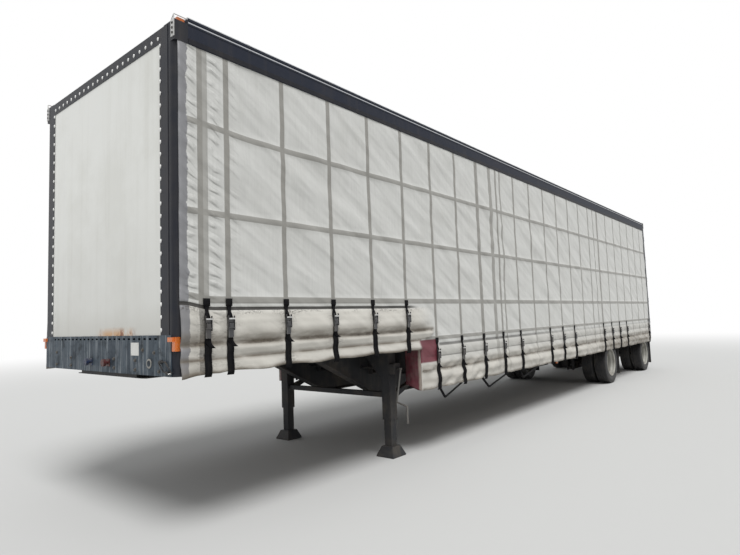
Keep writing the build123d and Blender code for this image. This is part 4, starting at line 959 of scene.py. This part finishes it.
def curtain_columns():
    """Return the places of the curtain's columns, close together at the front and at band edges."""
    marks = {FIRST, LAST, STEP, FIRST + 0.060, STEP + 0.360, STEP + 0.366}
    for middle, half, _tone in BANDS:
        marks.update(band_edges(middle, half))
    marks = [mark for mark in marks if FIRST <= mark <= LAST]
    return filled(marks, lambda mark: 0.020 if mark < 0.6 else 0.045 if mark < 6.0 else 0.062)


def curtain_rows():
    """Return the heights of the curtain's rows from the lower hem up."""
    marks = {LOWER_HEM, UPPER_HEM, CURTAIN_HIGH.z, *LINE_ROWS}
    for middle, half, _first, _last in CROSS_BANDS:
        marks.update(band_edges(middle, half))
    return filled(marks, lambda mark: 0.018 if mark < 1.9 else 0.046)


def cross_lift(place, height):
    """Return how far the upper sewn band, and the seam above the skirt, rise toward the front."""
    band_rise = 0.036 * step_down(place, 0.0, 0.9) * bell(height, 3.238, 0.30)
    seam_rise = 0.045 * step_down(place, 0.05, 0.34) * bell(height, 1.790, 0.16)
    return band_rise + seam_rise


def inside(value, middle, half):
    """Return one inside a band and zero outside it."""
    return 1.0 if abs(value - middle) <= half + 0.0005 else 0.0


def curtain_paint(place, height):
    """Return the two paint values of a place on the curtain: its bands, and its dirt, rub marks and seams
    with painted shade in the creases.
    """
    band = 0.0
    for middle, half, tone in BANDS:
        if inside(place, middle, half):
            band = max(band, tone)
    for middle, half, first, last in CROSS_BANDS:
        if inside(height, middle, half) and first <= place <= last:
            band = max(band, BAND_TONE)
    in_patch = STEP - 0.001 < place < STEP + 0.362 and 1.101 < height < 1.369
    maroon = 1.0 if in_patch else 0.0
    if height < 1.30:
        band *= 0.60
    if height < 0.99:
        band *= 0.50
    pucker = max(bell(place, 0.142, 0.045), bell(place, 0.352, 0.055), 0.35 * bell(place, 0.54, 0.05))
    pucker *= step_up(height, 1.45, 1.85)
    front_part = front_share(place, height)
    rear_part = step_up(place, STEP - 0.004, STEP + 0.02)
    rear_tone = step_down(height, 1.29, 1.32) * (1 - 0.65 * step_up(height, 1.02, 1.14))
    skirt = front_part * step_down(height, 1.74, 1.78) + rear_part * rear_tone
    # Brown road dirt under the roll, on the thin line below it and at the hem, made darker in the creases as
    # painted shade
    grime = front_part * (
        0.98 * bell(height, 1.492, 0.022)
        + 0.52 * bell(height, 1.540, 0.040)
        + 0.90 * bell(height, 1.374, 0.016)
        + 0.85 * bell(height, 1.272, 0.020)
        + 0.12 * step_down(height, 1.70, 1.76)
    )
    # Lower skirt: painted shade in its creases, with road dirt at its hem and more dirt toward the rear
    grime += rear_part * (
        0.95 * bell(height, 0.996, 0.018)
        + 0.34 * bell(height, 1.045, 0.030)
        + 0.28 * bell(height, 0.870, 0.024)
        + 0.80 * bell(height, 0.778, 0.020)
        + 0.14 * step_down(height, 1.24, 1.31)
        + 0.16 * step_up(place, 5.5, 11.5) * step_down(height, 1.24, 1.31)
        + 0.42 * step_up(place, 9.4, 10.8) * step_down(height, 0.94, 1.03)
    )
    grime += 0.35 * step_down(place, 0.05, 0.5) * step_down(height, 1.30, 1.40)
    # Dark rub marks beside the straps, and painted crease shade along the fold and just under the seam
    pull = strap_pull(place, height)
    rub_and_crease_shade = front_part * (1.0 * bell(height, 1.490, 0.014) + 1.0 * bell(height, 1.744, 0.018))
    rub_and_crease_shade += 1.4 * bell(place, STEP - 0.05, 0.12) * bell(height, 1.374, 0.010)
    rub_and_crease_shade += rear_part * (1.1 * bell(height, 0.992, 0.016) + 0.5 * bell(height, 0.785, 0.02))
    rub_and_crease_shade += 0.8 * pull * step_down(height, 1.74, 1.80) * (1 - 0.5 * rear_part)
    # The black seam under the sewn band, and a thin line through the lower skirt
    fade = step_down(place, 2.95, 3.25)
    seam = fade * (0.95 if 1.756 < height < 1.786 else 0.0)
    seam_fade = step_up(place, STEP + 0.36, STEP + 0.45) * (1 - 0.6 * step_up(place, 5.0, 9.0))
    seam += 0.75 * seam_fade * (1.0 if 1.2885 < height < 1.3125 else 0.0)
    line_fade = step_up(place, STEP + 0.02, STEP + 0.04) * (1 - 0.6 * step_up(place, 8.0, 12.0))
    seam += 0.50 * line_fade * (1.0 if 1.148 < height < 1.161 else 0.0)
    if in_patch:
        grime, rub_and_crease_shade, seam = 0.3 * grime, 0.3 * rub_and_crease_shade, 0.0
    bands = (band, skirt, maroon, pucker)
    wear = (min(grime, 1.0), min(rub_and_crease_shade, 1.0), min(seam, 1.0), 1.0)
    return bands, wear


def grid_points(bm, columns, rows):
    """Add a grid, and return the column and the row of each of its points."""
    made = bmesh.ops.create_grid(bm, x_segments=len(columns) - 1, y_segments=len(rows) - 1, size=0.5)
    flat = {}
    for vert in made["verts"]:
        column = columns[round((vert.co.x + 0.5) * (len(columns) - 1))]
        row = rows[round((vert.co.y + 0.5) * (len(rows) - 1))]
        flat[vert] = (column, row)
    return flat


def map_flat(uv_layer, flat):
    """Map a grid's faces to its columns and rows."""
    for face in {face for vert in flat if vert.is_valid for face in vert.link_faces}:
        for loop in face.loops:
            loop[uv_layer].uv = flat[loop.vert]


def grid_sheet(bm, columns, rows, place, uv_layer):
    """Add a grid of columns and rows, put each point in its place and map it flat."""
    flat = grid_points(bm, columns, rows)
    for vert, (column, row) in flat.items():
        vert.co = place(column, row)
    map_flat(uv_layer, flat)


def sheet_piece(name, bm, slot, facing, thickness, offset=0.0):
    """Make a sheet a piece that faces one way and has its thickness."""
    obj = finished(name, bm, [slot])
    if obj.data.polygons[0].normal.dot(facing) < 0:
        obj.data.flip_normals()
    solid = obj.modifiers.new("thickness", "SOLIDIFY")
    solid.thickness = thickness
    solid.offset = offset
    return obj


def curtain_piece(name, side, sizes, seed):
    """Build one curtain as a single sheet with its sewn bands, seam, skirt and hem."""
    bm = bmesh.new()
    uv_layer = bm.loops.layers.uv.new("cloth")
    bands_layer = bm.verts.layers.float_color.new("bands")
    marks_and_shade_layer = bm.verts.layers.float_color.new("wear")
    flat = grid_points(bm, curtain_columns(), curtain_rows())
    gone = []
    for vert, (column, row) in flat.items():
        if column < STEP - 0.001 and row < UPPER_HEM - 0.001:
            gone.append(vert)
            continue
        height = row
        hem = UPPER_HEM if column < STEP - 0.001 else LOWER_HEM
        near_hem = step_down(row, hem, hem + 0.10)
        if near_hem > 0 and abs(column - STEP) > 0.001:
            height += hem_drop(column, seed, hem == LOWER_HEM) * near_hem
        height += cross_lift(column, row)
        out = cloth_out(column, row, sizes, seed)
        bands, wear = curtain_paint(column, row)
        if bands[0] > 0.5:
            out += 0.0014
        if wear[2] > 0.5:
            out = max(LEAST_OUT, out - 0.004)
        if row > CURTAIN_HIGH.z - 0.15:
            out = min(out, LEAST_OUT + (CURTAIN_HIGH.z - row) * 0.02)
        vert[bands_layer] = bands
        vert[marks_and_shade_layer] = wear
        vert.co = Vector((side * (CLOTH_BASE + out), Y_FRONT + column, height))
    bmesh.ops.delete(bm, geom=gone, context="VERTS")
    map_flat(uv_layer, flat)
    obj = sheet_piece(name, bm, "curtain_fabric", Vector((side, 0, 0)), sizes.cloth_thickness, -1.0)
    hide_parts("curtain_left" if side > 0 else "curtain_right")


class TRAILER_OT_finishes(bpy.types.Operator):
    """Build the finishes and give every part of the frame its own"""

    bl_idname = "trailer.finishes"
    bl_label = "Finishes"

    def execute(self, context):
        FINISHES.clear()
        FINISHES.update(make_finishes(context.scene.trailer_colours))
        slots = {part["node"]: part["material_slot"] for part in frame["record"]["subparts"]}
        for name, obj in frame["nodes"].items():
            slot = slots[name]
            obj.data.materials.clear()
            obj.data.materials.append(FINISHES[NODE_FINISHES.get(name, slot)])
        return {"FINISHED"}


class TRAILER_OT_curtains(bpy.types.Operator):
    """Hang the two curtains"""

    bl_idname = "trailer.curtains"
    bl_label = "Curtains"

    def execute(self, context):
        sizes = context.scene.trailer_sizes
        for name, side, seed in SIDES:
            curtain_piece(f"curtain_{name}_cloth", side, sizes, seed)
        return {"FINISHED"}


class TRAILER_OT_flaps(bpy.types.Operator):
    """Hang the maroon flaps that close the step"""

    bl_idname = "trailer.flaps"
    bl_label = "Step flaps"

    def execute(self, context):
        sizes = context.scene.trailer_sizes
        half = FLAP_HIGH.x + 0.006
        low = LOWER_HEM
        high = UPPER_HEM - 0.004
        for name, side, _seed in SIDES:
            bm = bmesh.new()
            uv_layer = bm.loops.layers.uv.new("cloth")

            def place(column, row, side=side):
                bottom = 0.060 * step_down(column, 0.0, FLAP_WIDTH) * step_down(row, low, low + 0.3)
                fold = 0.006 * rough(column * 11 + row * 4, row * 7, 5.0 * side)
                belly = 0.010 * math.sin(math.pi * column / FLAP_WIDTH) * step_up(high - row, 0.0, 0.2)
                x = side * (half - FLAP_WIDTH + column)
                return (x, Y_STEP - 0.0025 - abs(fold) - belly, row + bottom)

            grid_sheet(bm, spread(0.0, FLAP_WIDTH, 16), spread(low, high, 34), place, uv_layer)
            forward = Vector((0, -1, 0))
            obj = sheet_piece(f"step_flap_{name}_cloth", bm, "flap_fabric", forward, sizes.cloth_thickness)
        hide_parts("step_flaps")
        return {"FINISHED"}


def strap_out(strap, height, sizes, seed):
    """Return how far the curtain stands out under a strap's whole width."""
    offsets = spread(-sizes.strap_width / 2, sizes.strap_width / 2, 4)
    return max(cloth_out(strap + offset, height, sizes, seed) for offset in offsets)


def strap_lift(column, row, top, half):
    """Return how far a strap stands off: at its buckle, and below it where its rear edge turns out."""
    below = step_up(top - 0.300 - row, 0.0, 0.08)
    return BUCKLE_LIFT * bell(row, top - 0.210, 0.090) + 0.008 * below * (1 + column / half)


def add_strap(bm, uv_layer, number, sizes, side, seed):
    """Add one strap with its sewn top and its loose tail, and return the webbing's length."""
    strap, top, hem = STRAPS[number]
    half = sizes.strap_width / 2
    low = hem - 0.030
    lean = 0.006 * rough(number * 3.7, 0.5, seed)
    tail_top = top - 0.318
    tail = 0.075 + 0.025 * rough(number * 2.1, 3.0, seed)

    def surface(row):
        return CLOTH_BASE + strap_out(strap, max(row, hem + 0.01), sizes, seed)

    def body(column, row):
        place = strap + column + lean * step_up(top - row, 0.1, 0.4)
        place -= column * 0.45 * bell(row, top - 0.095, 0.03)
        lift = strap_lift(column, row, top, half) - 0.012 * step_up(hem - row, 0.0, 0.03)
        return (side * (surface(row) + 0.0042 + lift), Y_FRONT + place, row)

    def block(column, row):
        return (side * (surface(row) + 0.0078), Y_FRONT + strap + column, row)

    def loose(column, row):
        share = (tail_top - row) / tail
        turn = 0.014 * share**2 * (1 + column / half) + strap_lift(column, row, top, half)
        place = strap + column * (1 - 0.3 * share)
        return (side * (surface(row) + 0.0075 + turn), Y_FRONT + place + 0.030 * share**2, row)

    wide = half + 0.004
    narrow = half - 0.002
    grid_sheet(bm, spread(-half, half, 3), spread(low, top, 30), body, uv_layer)
    grid_sheet(bm, spread(-wide, wide, 3), spread(top - 0.058, top + 0.003, 3), block, uv_layer)
    grid_sheet(bm, spread(-narrow, narrow, 3), spread(tail_top - tail, tail_top, 10), loose, uv_layer)
    return top - low + 0.061 + tail


class TRAILER_OT_straps(bpy.types.Operator):
    """Lay the webbing straps, with their sewn tops and loose tails"""

    bl_idname = "trailer.straps"
    bl_label = "Straps"

    def execute(self, context):
        sizes = context.scene.trailer_sizes
        for name, side, seed in SIDES:
            bm = bmesh.new()
            uv_layer = bm.loops.layers.uv.new("cloth")
            total = sum(add_strap(bm, uv_layer, number, sizes, side, seed) for number in range(len(STRAPS)))
            outward = Vector((side, 0, 0))
            obj = sheet_piece(f"straps_{name}", bm, "webbing_black", outward, STRAP_THICKNESS)
        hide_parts("strap_webbing")
        return {"FINISHED"}


def bend_path(points, turn, count):
    """Return a path through three points, with its middle corner rounded."""
    first, corner, last = (Vector(point) for point in points)
    start = corner + (first - corner).normalized() * turn
    end = corner + (last - corner).normalized() * turn
    bend = [start.lerp(corner, share).lerp(corner.lerp(end, share), share) for share in spread(0, 1, count)]
    return [first, *bend, last]


class TRAILER_OT_slack_straps(bpy.types.Operator):
    """Hang the slack webbing below the left curtain"""

    bl_idname = "trailer.slack_straps"
    bl_label = "Slack straps"

    def execute(self, context):
        bm = bmesh.new()
        uv_layer = bm.loops.layers.uv.new("cloth")
        for points in SLACK_STRAPS:
            path = bend_path(points, SLACK_TURN, 8)
            lengths = [0.0]
            for before, after in zip(path, path[1:]):
                lengths.append(lengths[-1] + (after - before).length)

            def place(column, row, path=path, lengths=lengths):
                index = lengths.index(row)
                middle = path[index]
                ahead = (path[min(index + 1, len(path) - 1)] - path[max(index - 1, 0)]).normalized()
                x = CURTAIN_FACE - SLACK_INSET + 0.006 * math.sin(row * 9.0) + 0.25 * column
                return (x, Y_FRONT + middle.x - ahead.y * column, middle.y + ahead.x * column)

            grid_sheet(bm, spread(-SLACK_WIDTH / 2, SLACK_WIDTH / 2, 2), lengths, place, uv_layer)
        obj = sheet_piece("slack_straps", bm, "webbing_black", Vector((1, 0, 0)), SLACK_THICKNESS)
        return {"FINISHED"}


# A buckle's lower plate, lever, two cheeks and bar: how far out, how far along, heights, bevel and the
# slot of the bevelled edges, which are worn grey on the plate
BUCKLE_BOXES = (
    ((0.000, 0.005), (-0.025, 0.025), (-0.088, -0.016), 0.0015, 1),
    ((0.006, 0.018), (-0.020, 0.020), (-0.014, 0.030), 0.005, 0),
    ((0.000, 0.016), (-0.030, -0.026), (-0.030, 0.088), 0.001, 0),
    ((0.000, 0.016), (0.026, 0.030), (-0.030, 0.088), 0.001, 0),
    ((0.002, 0.007), (-0.024, 0.024), (0.034, 0.054), 0.001, 0),
)
# Its two rollers: height, radius and slot
BUCKLE_ROLLERS = ((0.062, 0.0075, 2), (-0.012, 0.0065, 0))


class TRAILER_OT_buckles(bpy.types.Operator):
    """Fit an over-centre buckle on each strap"""

    bl_idname = "trailer.buckles"
    bl_label = "Buckles"

    def execute(self, context):
        sizes = context.scene.trailer_sizes
        for name, side, seed in SIDES:
            bm = bmesh.new()
            for strap, top, _hem in STRAPS:
                middle = top - 0.225
                heights = spread(middle - 0.088, middle + 0.088, 4)
                out = max(strap_out(strap, height, sizes, seed) for height in heights)
                face = side * (CLOTH_BASE + out + 0.006 + BUCKLE_LIFT)
                y = Y_FRONT + strap
                for outs, alongs, levels, bevel, edge_slot in BUCKLE_BOXES:
                    corners = [
                        (face + side * outs[end], y + alongs[end], middle + levels[end]) for end in (0, 1)
                    ]
                    add_box(bm, *corners, bevel, edge_slot, 1)
                for level, radius, slot in BUCKLE_ROLLERS:
                    foot = (face + side * 0.012, y, middle + level)
                    add_stack(bm, foot, (0, 1, 0), [(-0.029, 0.029, radius, 8, slot)])
            slots = ["buckle_steel", "plate_grey", "bare_steel"]
            obj = finished(f"buckles_{name}", faced_outward(bm), slots)
            sharp_by_angle(obj)
        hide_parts("strap_buckles")
        return {"FINISHED"}


class TRAILER_OT_front_fittings(bpy.types.Operator):
    """Fit the rivets, bolts, blank plates and handle of the front wall"""

    bl_idname = "trailer.front_fittings"
    bl_label = "Front fittings"

    def execute(self, context):
        pitch = context.scene.trailer_sizes.rivet_pitch
        low = PANEL_LOW.z
        heights = spread(low + 0.04, PANEL_TOP - 0.02, round((PANEL_TOP - low - 0.06) / pitch))
        rivets = [(side * (PANEL_HALF + 0.010), z) for side in (1, -1) for z in heights]
        across = spread(-PANEL_HALF + 0.02, PANEL_HALF - 0.02, round(2 * PANEL_HALF / pitch))
        rivets += [(x, PANEL_TOP + 0.045) for x in across]
        bm = bmesh.new()
        for x, z in rivets:
            add_ball(bm, (x, FRAME_FACE - 0.001, z), 0.5, 8, 6, RIVET_SIZE)
        finished("flange_rivets", bm, ["rivet_white"])

        face = BULKHEAD_FACE
        forward = (0, -1, 0)
        bm = bmesh.new()
        for x, z in BULKHEAD_BOLTS:
            add_stack(bm, (x, face, z), forward, [(0.002, 0, 0.016, 12), (0.011, 0.002, 0.011, 6)])
        sharp_by_angle(finished("bulkhead_bolts", faced_outward(bm), ["hub_iron"]))

        bm = bmesh.new()
        left, bottom = LABEL_LOW
        right, top = LABEL_HIGH
        add_box(bm, (left, face - 0.0015, bottom), (right, face, top), 0.0005)
        for x in (left + 0.010, right - 0.010):
            for z in (bottom + 0.010, top - 0.010):
                add_stack(bm, (x, face, z), forward, [(0.004, 0.001, 0.003, 8, 1)])
        finished("blank_label", bm, ["label_white", "bare_steel"], smooth=False)

        bm = bmesh.new()
        x, z = ROUND_PLATE
        add_stack(bm, (x, face, z), forward, [(0.003, 0, 0.038, 28), (0.006, 0.003, 0.024, 28, 1)])
        sharp_by_angle(finished("round_plate", bm, ["plate_grey", "bulkhead_paint"]))

        bm = bmesh.new()
        path = [(x, face - LOOP_STANDOFF, z) for x, z in LOOP_PATH]
        for index, (start, end) in enumerate(zip(path, path[1:] + path[:1])):
            add_rod(bm, start, end, 0.006, 10, int(index in BRIGHT_RUNS))
            add_ball(bm, start, 0.0062, 10, 8)
        for x, z in LOOP_CLIPS:
            add_box(bm, (x - 0.012, face - 0.022, z - 0.012), (x + 0.012, face, z + 0.012), 0.002)
        finished("hose_loop", bm, ["chassis_paint", "bare_steel"])

        bm = bmesh.new()
        for side in (1, -1):
            for z in CORNER_BOLT_HEIGHTS:
                foot = (side * CORNER_BOLT_X, Y_FRONT - 0.006, z)
                add_stack(bm, foot, forward, [(0.006, 0, 0.0075, 6), (0.0015, 0, 0.011, 12)])
        finished("corner_bolts", bm, ["chassis_paint"], smooth=False)
        return {"FINISHED"}


class TRAILER_OT_rail_trim(bpy.types.Operator):
    """Add the bright line, the lip's shadow strip and the roof seams"""

    bl_idname = "trailer.rail_trim"
    bl_label = "Rail trim"

    def execute(self, context):
        for name, finish, strips, segments in RAIL_STRIPS:
            bm = bmesh.new()
            for side in (1, -1):
                for low, high, out, bevel in strips:
                    corner = (side * RAIL_FACE, RAIL_LOW.y, low)
                    opposite = (side * (RAIL_FACE + out), RAIL_HIGH.y, high)
                    add_box(bm, corner, opposite, bevel, 0, segments)
            finished(name, bm, [finish], smooth=False)
        bm = bmesh.new()
        top = ROOF_HIGH.z
        count = round((ROOF_HIGH.y - ROOF_LOW.y) / ROOF_SHEET)
        for y in spread(ROOF_LOW.y + 0.6, ROOF_HIGH.y - 0.6, count):
            corner = (ROOF_LOW.x, y - 0.02, top - 0.001)
            add_box(bm, corner, (ROOF_HIGH.x, y + 0.02, top + 0.0025), 0.001, 0, 1)
        outer, inner = ROOF_EDGE
        for side in (1, -1):
            corner = (side * outer, ROOF_LOW.y, top - 0.001)
            add_box(bm, corner, (side * inner, ROOF_HIGH.y, top + 0.003), 0.001, 0, 1)
        finished("roof_seams", bm, ["roof_skin"], smooth=False)
        return {"FINISHED"}


def tyre_outline(radius, groove):
    """Return the outline of a tyre as (along, radius) points, from the inner bead round."""
    lip = 0.308
    shoulder = radius - 0.014
    side = [
        (-0.107, lip - 0.012), (-0.1085, lip), (-0.116, 0.330), (-0.1195, 0.336),
        (-0.1240, 0.352), (-0.1270, 0.375), (-0.1275, 0.392), (-0.1262, 0.412),
        (-0.1250, 0.4135), (-0.1225, 0.4300), (-0.1175, shoulder - 0.004), (-0.1130, radius - 0.006),
    ]
    crown = radius - 0.0015
    groove_section = ((-0.0065, crown), (-0.0050, crown - groove), (0.0050, crown - groove), (0.0065, crown))
    tread = [(middle + along, place) for middle in GROOVES for along, place in groove_section]
    return side + tread + [(-along, place) for along, place in reversed(side)]


def cut_tread(bm, radius):
    """Press the shoulder blocks and the fine cuts of the crown into a tyre."""
    for vert in bm.verts:
        reach = math.hypot(vert.co.y, vert.co.z)
        step = round(math.atan2(vert.co.z, vert.co.y) / (2 * math.pi) * TYRE_STEPS)
        shift = 0.0
        if step % 4 == 0 and reach > radius - 0.020 and abs(vert.co.x) > 0.072:
            shift = 0.0055
        elif step % 4 == 2 and reach > radius - 0.004 and abs(vert.co.x) < 0.0625:
            shift = 0.0022
        if shift:
            vert.co.y *= (reach - shift) / reach
            vert.co.z *= (reach - shift) / reach


class TRAILER_OT_tyres(bpy.types.Operator):
    """Mould the tyres, with grooves, shoulder blocks and side ribs"""

    bl_idname = "trailer.tyres"
    bl_label = "Tyres"

    def execute(self, context):
        sizes = context.scene.trailer_sizes
        for wheel in WHEELS:
            low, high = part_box(wheel + "_tyres")
            middle = (low + high) / 2
            radius = (high.z - low.z) / 2
            bm = bmesh.new()
            for sign in (-1, 1):
                one = bmesh.new()
                add_turned(one, tyre_outline(radius, sizes.groove_depth), TYRE_STEPS)
                cut_tread(one, radius)
                faced_outward(one)
                place = (middle.x + sign * TYRE_OFFSET, middle.y, middle.z)
                bmesh.ops.translate(one, vec=place, verts=list(one.verts))
                mesh = bpy.data.meshes.new("one_tyre")
                one.to_mesh(mesh)
                one.free()
                bm.from_mesh(mesh)
                bpy.data.meshes.remove(mesh)
            obj = finished(wheel + "_treads", bm, ["tyre_rubber"], body=wheel)
            sharp_by_angle(obj, 40)
            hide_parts(wheel + "_tyres")
        return {"FINISHED"}


class TRAILER_OT_wheel_fittings(bpy.types.Operator):
    """Add the wheel nuts, the studs and the oil cap"""

    bl_idname = "trailer.wheel_fittings"
    bl_label = "Wheel fittings"

    def execute(self, context):
        for wheel in WHEELS:
            low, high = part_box(wheel + "_discs")
            hub_low, hub_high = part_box(wheel + "_hub")
            middle = (low + high) / 2
            way = 1 if middle.x > 0 else -1
            hub_end = hub_high.x if way > 0 else hub_low.x
            face = middle.x + way * 0.0112
            outward = (way, 0, 0)
            nut = [(0, 0.004, 0.0235, 16), (0.004, 0.026, 0.0175, 6), (0.026, 0.040, 0.0100, 10)]
            bm = bmesh.new()
            for y, z in around(middle, NUT_CIRCLE, 10, 0.5):
                add_stack(bm, (face, y, z), outward, nut)
            sharp_by_angle(finished(wheel + "_nuts", faced_outward(bm), ["crank_steel"], body=wheel))
            bm = bmesh.new()
            for y, z in around(middle, CAP_CIRCLE, 6):
                add_stack(bm, (hub_end, y, z), outward, [(-0.012, 0.001, 0.0055, 6)])
            add_stack(bm, (hub_end, middle.y, middle.z), outward, [(-0.002, 0.003, 0.030, 24)])
            sharp_by_angle(finished(wheel + "_cap_bolts", faced_outward(bm), ["bare_steel"], body=wheel))
        return {"FINISHED"}


class TRAILER_OT_door_trim(bpy.types.Operator):
    """Add the door seals and the hinge bolts at the rear"""

    bl_idname = "trailer.door_trim"
    bl_label = "Door trim"

    def execute(self, context):
        for name, side, _seed in SIDES:
            body = f"door_{name}"
            low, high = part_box(f"door_{name}_panel")
            bm = bmesh.new()
            for x_low, x_high, z_low, z_high in (
                (low.x, low.x + SEAL_WIDTH, low.z, high.z),
                (high.x - SEAL_WIDTH, high.x, low.z, high.z),
                (low.x, high.x, low.z, low.z + SEAL_WIDTH),
                (low.x, high.x, high.z - SEAL_WIDTH, high.z),
            ):
                add_box(bm, (x_low, high.y - 0.001, z_low), (x_high, high.y + 0.0008, z_high))
            finished(f"door_{name}_seal", bm, ["rubber_black"], body=body, smooth=False)
            hinge_low, hinge_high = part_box(f"door_{name}_hinges")
            bm = bmesh.new()
            for z in spread(hinge_low.z + 0.03, hinge_high.z - 0.03, 4):
                for offset in HINGE_BOLTS:
                    foot = (side * (DOOR_EDGE - offset), HINGE_FACE, z)
                    add_stack(bm, foot, (0, 1, 0), [(-0.0045, 0, 0.0085, 12)])
            obj = finished(f"door_{name}_hinge_bolts", faced_outward(bm), ["bare_steel"], body=body)
            sharp_by_angle(obj)
        return {"FINISHED"}


def background_mask(tree):
    """Return one where the camera, a mirror or glass sees the background, and the camera's own share."""
    ray = node(tree, "ShaderNodeLightPath")
    first = math_node(tree, "MAXIMUM", ray.outputs["Is Camera Ray"], ray.outputs["Is Glossy Ray"])
    mask = math_node(tree, "MAXIMUM", first, ray.outputs["Is Transmission Ray"])
    return mask, ray.outputs["Is Camera Ray"]


def mixed_shaders(tree, share, first, second):
    """Mix two shaders and return the output."""
    mixer = node(tree, "ShaderNodeMixShader")
    for socket, value in zip(mixer.inputs, (share, first, second)):
        feed(tree, socket, value)
    return mixer.outputs[0]


def background(tree, colour, strength):
    """Return a background of one colour."""
    made = node(tree, "ShaderNodeBackground")
    feed(tree, made.inputs["Color"], (*colour, 1.0))
    feed(tree, made.inputs["Strength"], strength)
    return made.outputs[0]


class TRAILER_OT_stage(bpy.types.Operator):
    """Set up the floor, the light and the camera"""

    bl_idname = "trailer.stage"
    bl_label = "Stage"

    def execute(self, context):
        scene = context.scene
        scene.view_settings.view_transform = "Standard"
        world = bpy.data.worlds.new("studio_world")
        world.use_nodes = True
        tree = world.node_tree
        tree.nodes.clear()
        output = node(tree, "ShaderNodeOutputWorld")
        seen = background(tree, (1.0, 1.0, 1.0), 1.0)
        light = background(tree, (0.97, 0.985, 1.0), 0.55)
        mask, _camera_ray = background_mask(tree)
        feed(tree, output.inputs[0], mixed_shaders(tree, mask, light, seen))
        scene.world = world

        bm = bmesh.new()
        bmesh.ops.create_circle(bm, cap_ends=True, cap_tris=False, segments=96, radius=FLOOR_RADIUS)
        mesh = bpy.data.meshes.new("studio_floor")
        bm.to_mesh(mesh)
        bm.free()
        floor = bpy.data.objects.new("studio_floor", mesh)
        scene.collection.objects.link(floor)
        material = bpy.data.materials.new("pale_floor")
        material.use_nodes = True
        tree = material.node_tree
        tree.nodes.clear()
        output = node(tree, "ShaderNodeOutputMaterial")
        shader = node(tree, "ShaderNodeBsdfDiffuse")
        feed(tree, shader.inputs["Color"], (0.56, 0.56, 0.55, 1.0))
        glow = node(tree, "ShaderNodeEmission")
        mask, camera_ray = background_mask(tree)
        place = node(tree, "ShaderNodeTexCoord")
        distance = node(tree, "ShaderNodeVectorMath", operation="LENGTH")
        feed(tree, distance.inputs[0], place.outputs["Object"])
        far = ranged(tree, distance.outputs["Value"], *FLOOR_FADE)
        share = times(tree, far, mask)
        shown = mixed_shaders(tree, share, shader.outputs[0], glow.outputs[0])
        # From below, the floor lets the camera through
        clear = node(tree, "ShaderNodeBsdfTransparent")
        side = node(tree, "ShaderNodeNewGeometry")
        below = times(tree, side.outputs["Backfacing"], camera_ray)
        feed(tree, output.inputs[0], mixed_shaders(tree, below, shown, clear.outputs[0]))
        mesh.materials.append(material)

        sun = bpy.data.lights.new("soft_sun", "SUN")
        sun.energy = SUN_STRENGTH
        sun.angle = SUN_ANGLE
        lamp = bpy.data.objects.new("soft_sun", sun)
        lamp.rotation_euler = Vector(SUN_DIRECTION).to_track_quat("-Z", "Y").to_euler()
        scene.collection.objects.link(lamp)

        camera_data = bpy.data.cameras.new("photo_camera")
        camera_data.sensor_fit = "HORIZONTAL"
        camera_data.sensor_width = 36.0
        camera_data.lens = CAMERA_LENS
        camera_data.clip_end = 400.0
        camera = bpy.data.objects.new("photo_camera", camera_data)
        scene.collection.objects.link(camera)
        yaw, pitch, roll = (math.radians(angle) for angle in CAMERA_TURN)
        ahead = Vector((-math.sin(yaw) * math.cos(pitch), math.cos(yaw) * math.cos(pitch), math.sin(pitch)))
        level = Vector((math.cos(yaw), math.sin(yaw), 0.0))
        up = level.cross(ahead)
        right = level * math.cos(roll) + up * math.sin(roll)
        upward = up * math.cos(roll) - level * math.sin(roll)
        turn = Matrix((right, upward, -ahead)).transposed().to_4x4()
        camera.matrix_world = Matrix.Translation(CAMERA_PLACE) @ turn
        scene.camera = camera
        return {"FINISHED"}


class TRAILER_PT_panel(bpy.types.Panel):
    """List the sizes, the colours and the steps"""

    bl_idname = "TRAILER_PT_panel"
    bl_label = "Trailer"
    bl_space_type = "VIEW_3D"
    bl_region_type = "UI"
    bl_category = "Trailer"

    def draw(self, context):
        for group in (context.scene.trailer_sizes, context.scene.trailer_colours):
            box = self.layout.box()
            for name in group.__annotations__:
                box.prop(group, name)
        for step in STEPS:
            self.layout.operator(step.bl_idname)


STEPS = (
    TRAILER_OT_finishes,
    TRAILER_OT_curtains,
    TRAILER_OT_flaps,
    TRAILER_OT_straps,
    TRAILER_OT_slack_straps,
    TRAILER_OT_buckles,
    TRAILER_OT_front_fittings,
    TRAILER_OT_rail_trim,
    TRAILER_OT_tyres,
    TRAILER_OT_wheel_fittings,
    TRAILER_OT_door_trim,
    TRAILER_OT_stage,
)
CLASSES = (TrailerSizes, TrailerColours, *STEPS, TRAILER_PT_panel)


def register():
    """Register the classes and hang their values on the scene."""
    for item in CLASSES:
        bpy.utils.register_class(item)
    bpy.types.Scene.trailer_sizes = bpy.props.PointerProperty(type=TrailerSizes)
    bpy.types.Scene.trailer_colours = bpy.props.PointerProperty(type=TrailerColours)


def unregister():
    """Take the values off the scene and the classes out again."""
    del bpy.types.Scene.trailer_colours
    del bpy.types.Scene.trailer_sizes
    for item in reversed(CLASSES):
        bpy.utils.unregister_class(item)


def main():
    """Register the add-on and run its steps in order."""
    register()
    for step in STEPS:
        group, name = step.bl_idname.split(".")
        getattr(getattr(bpy.ops, group), name)()


if __name__ == "__main__":
    main()
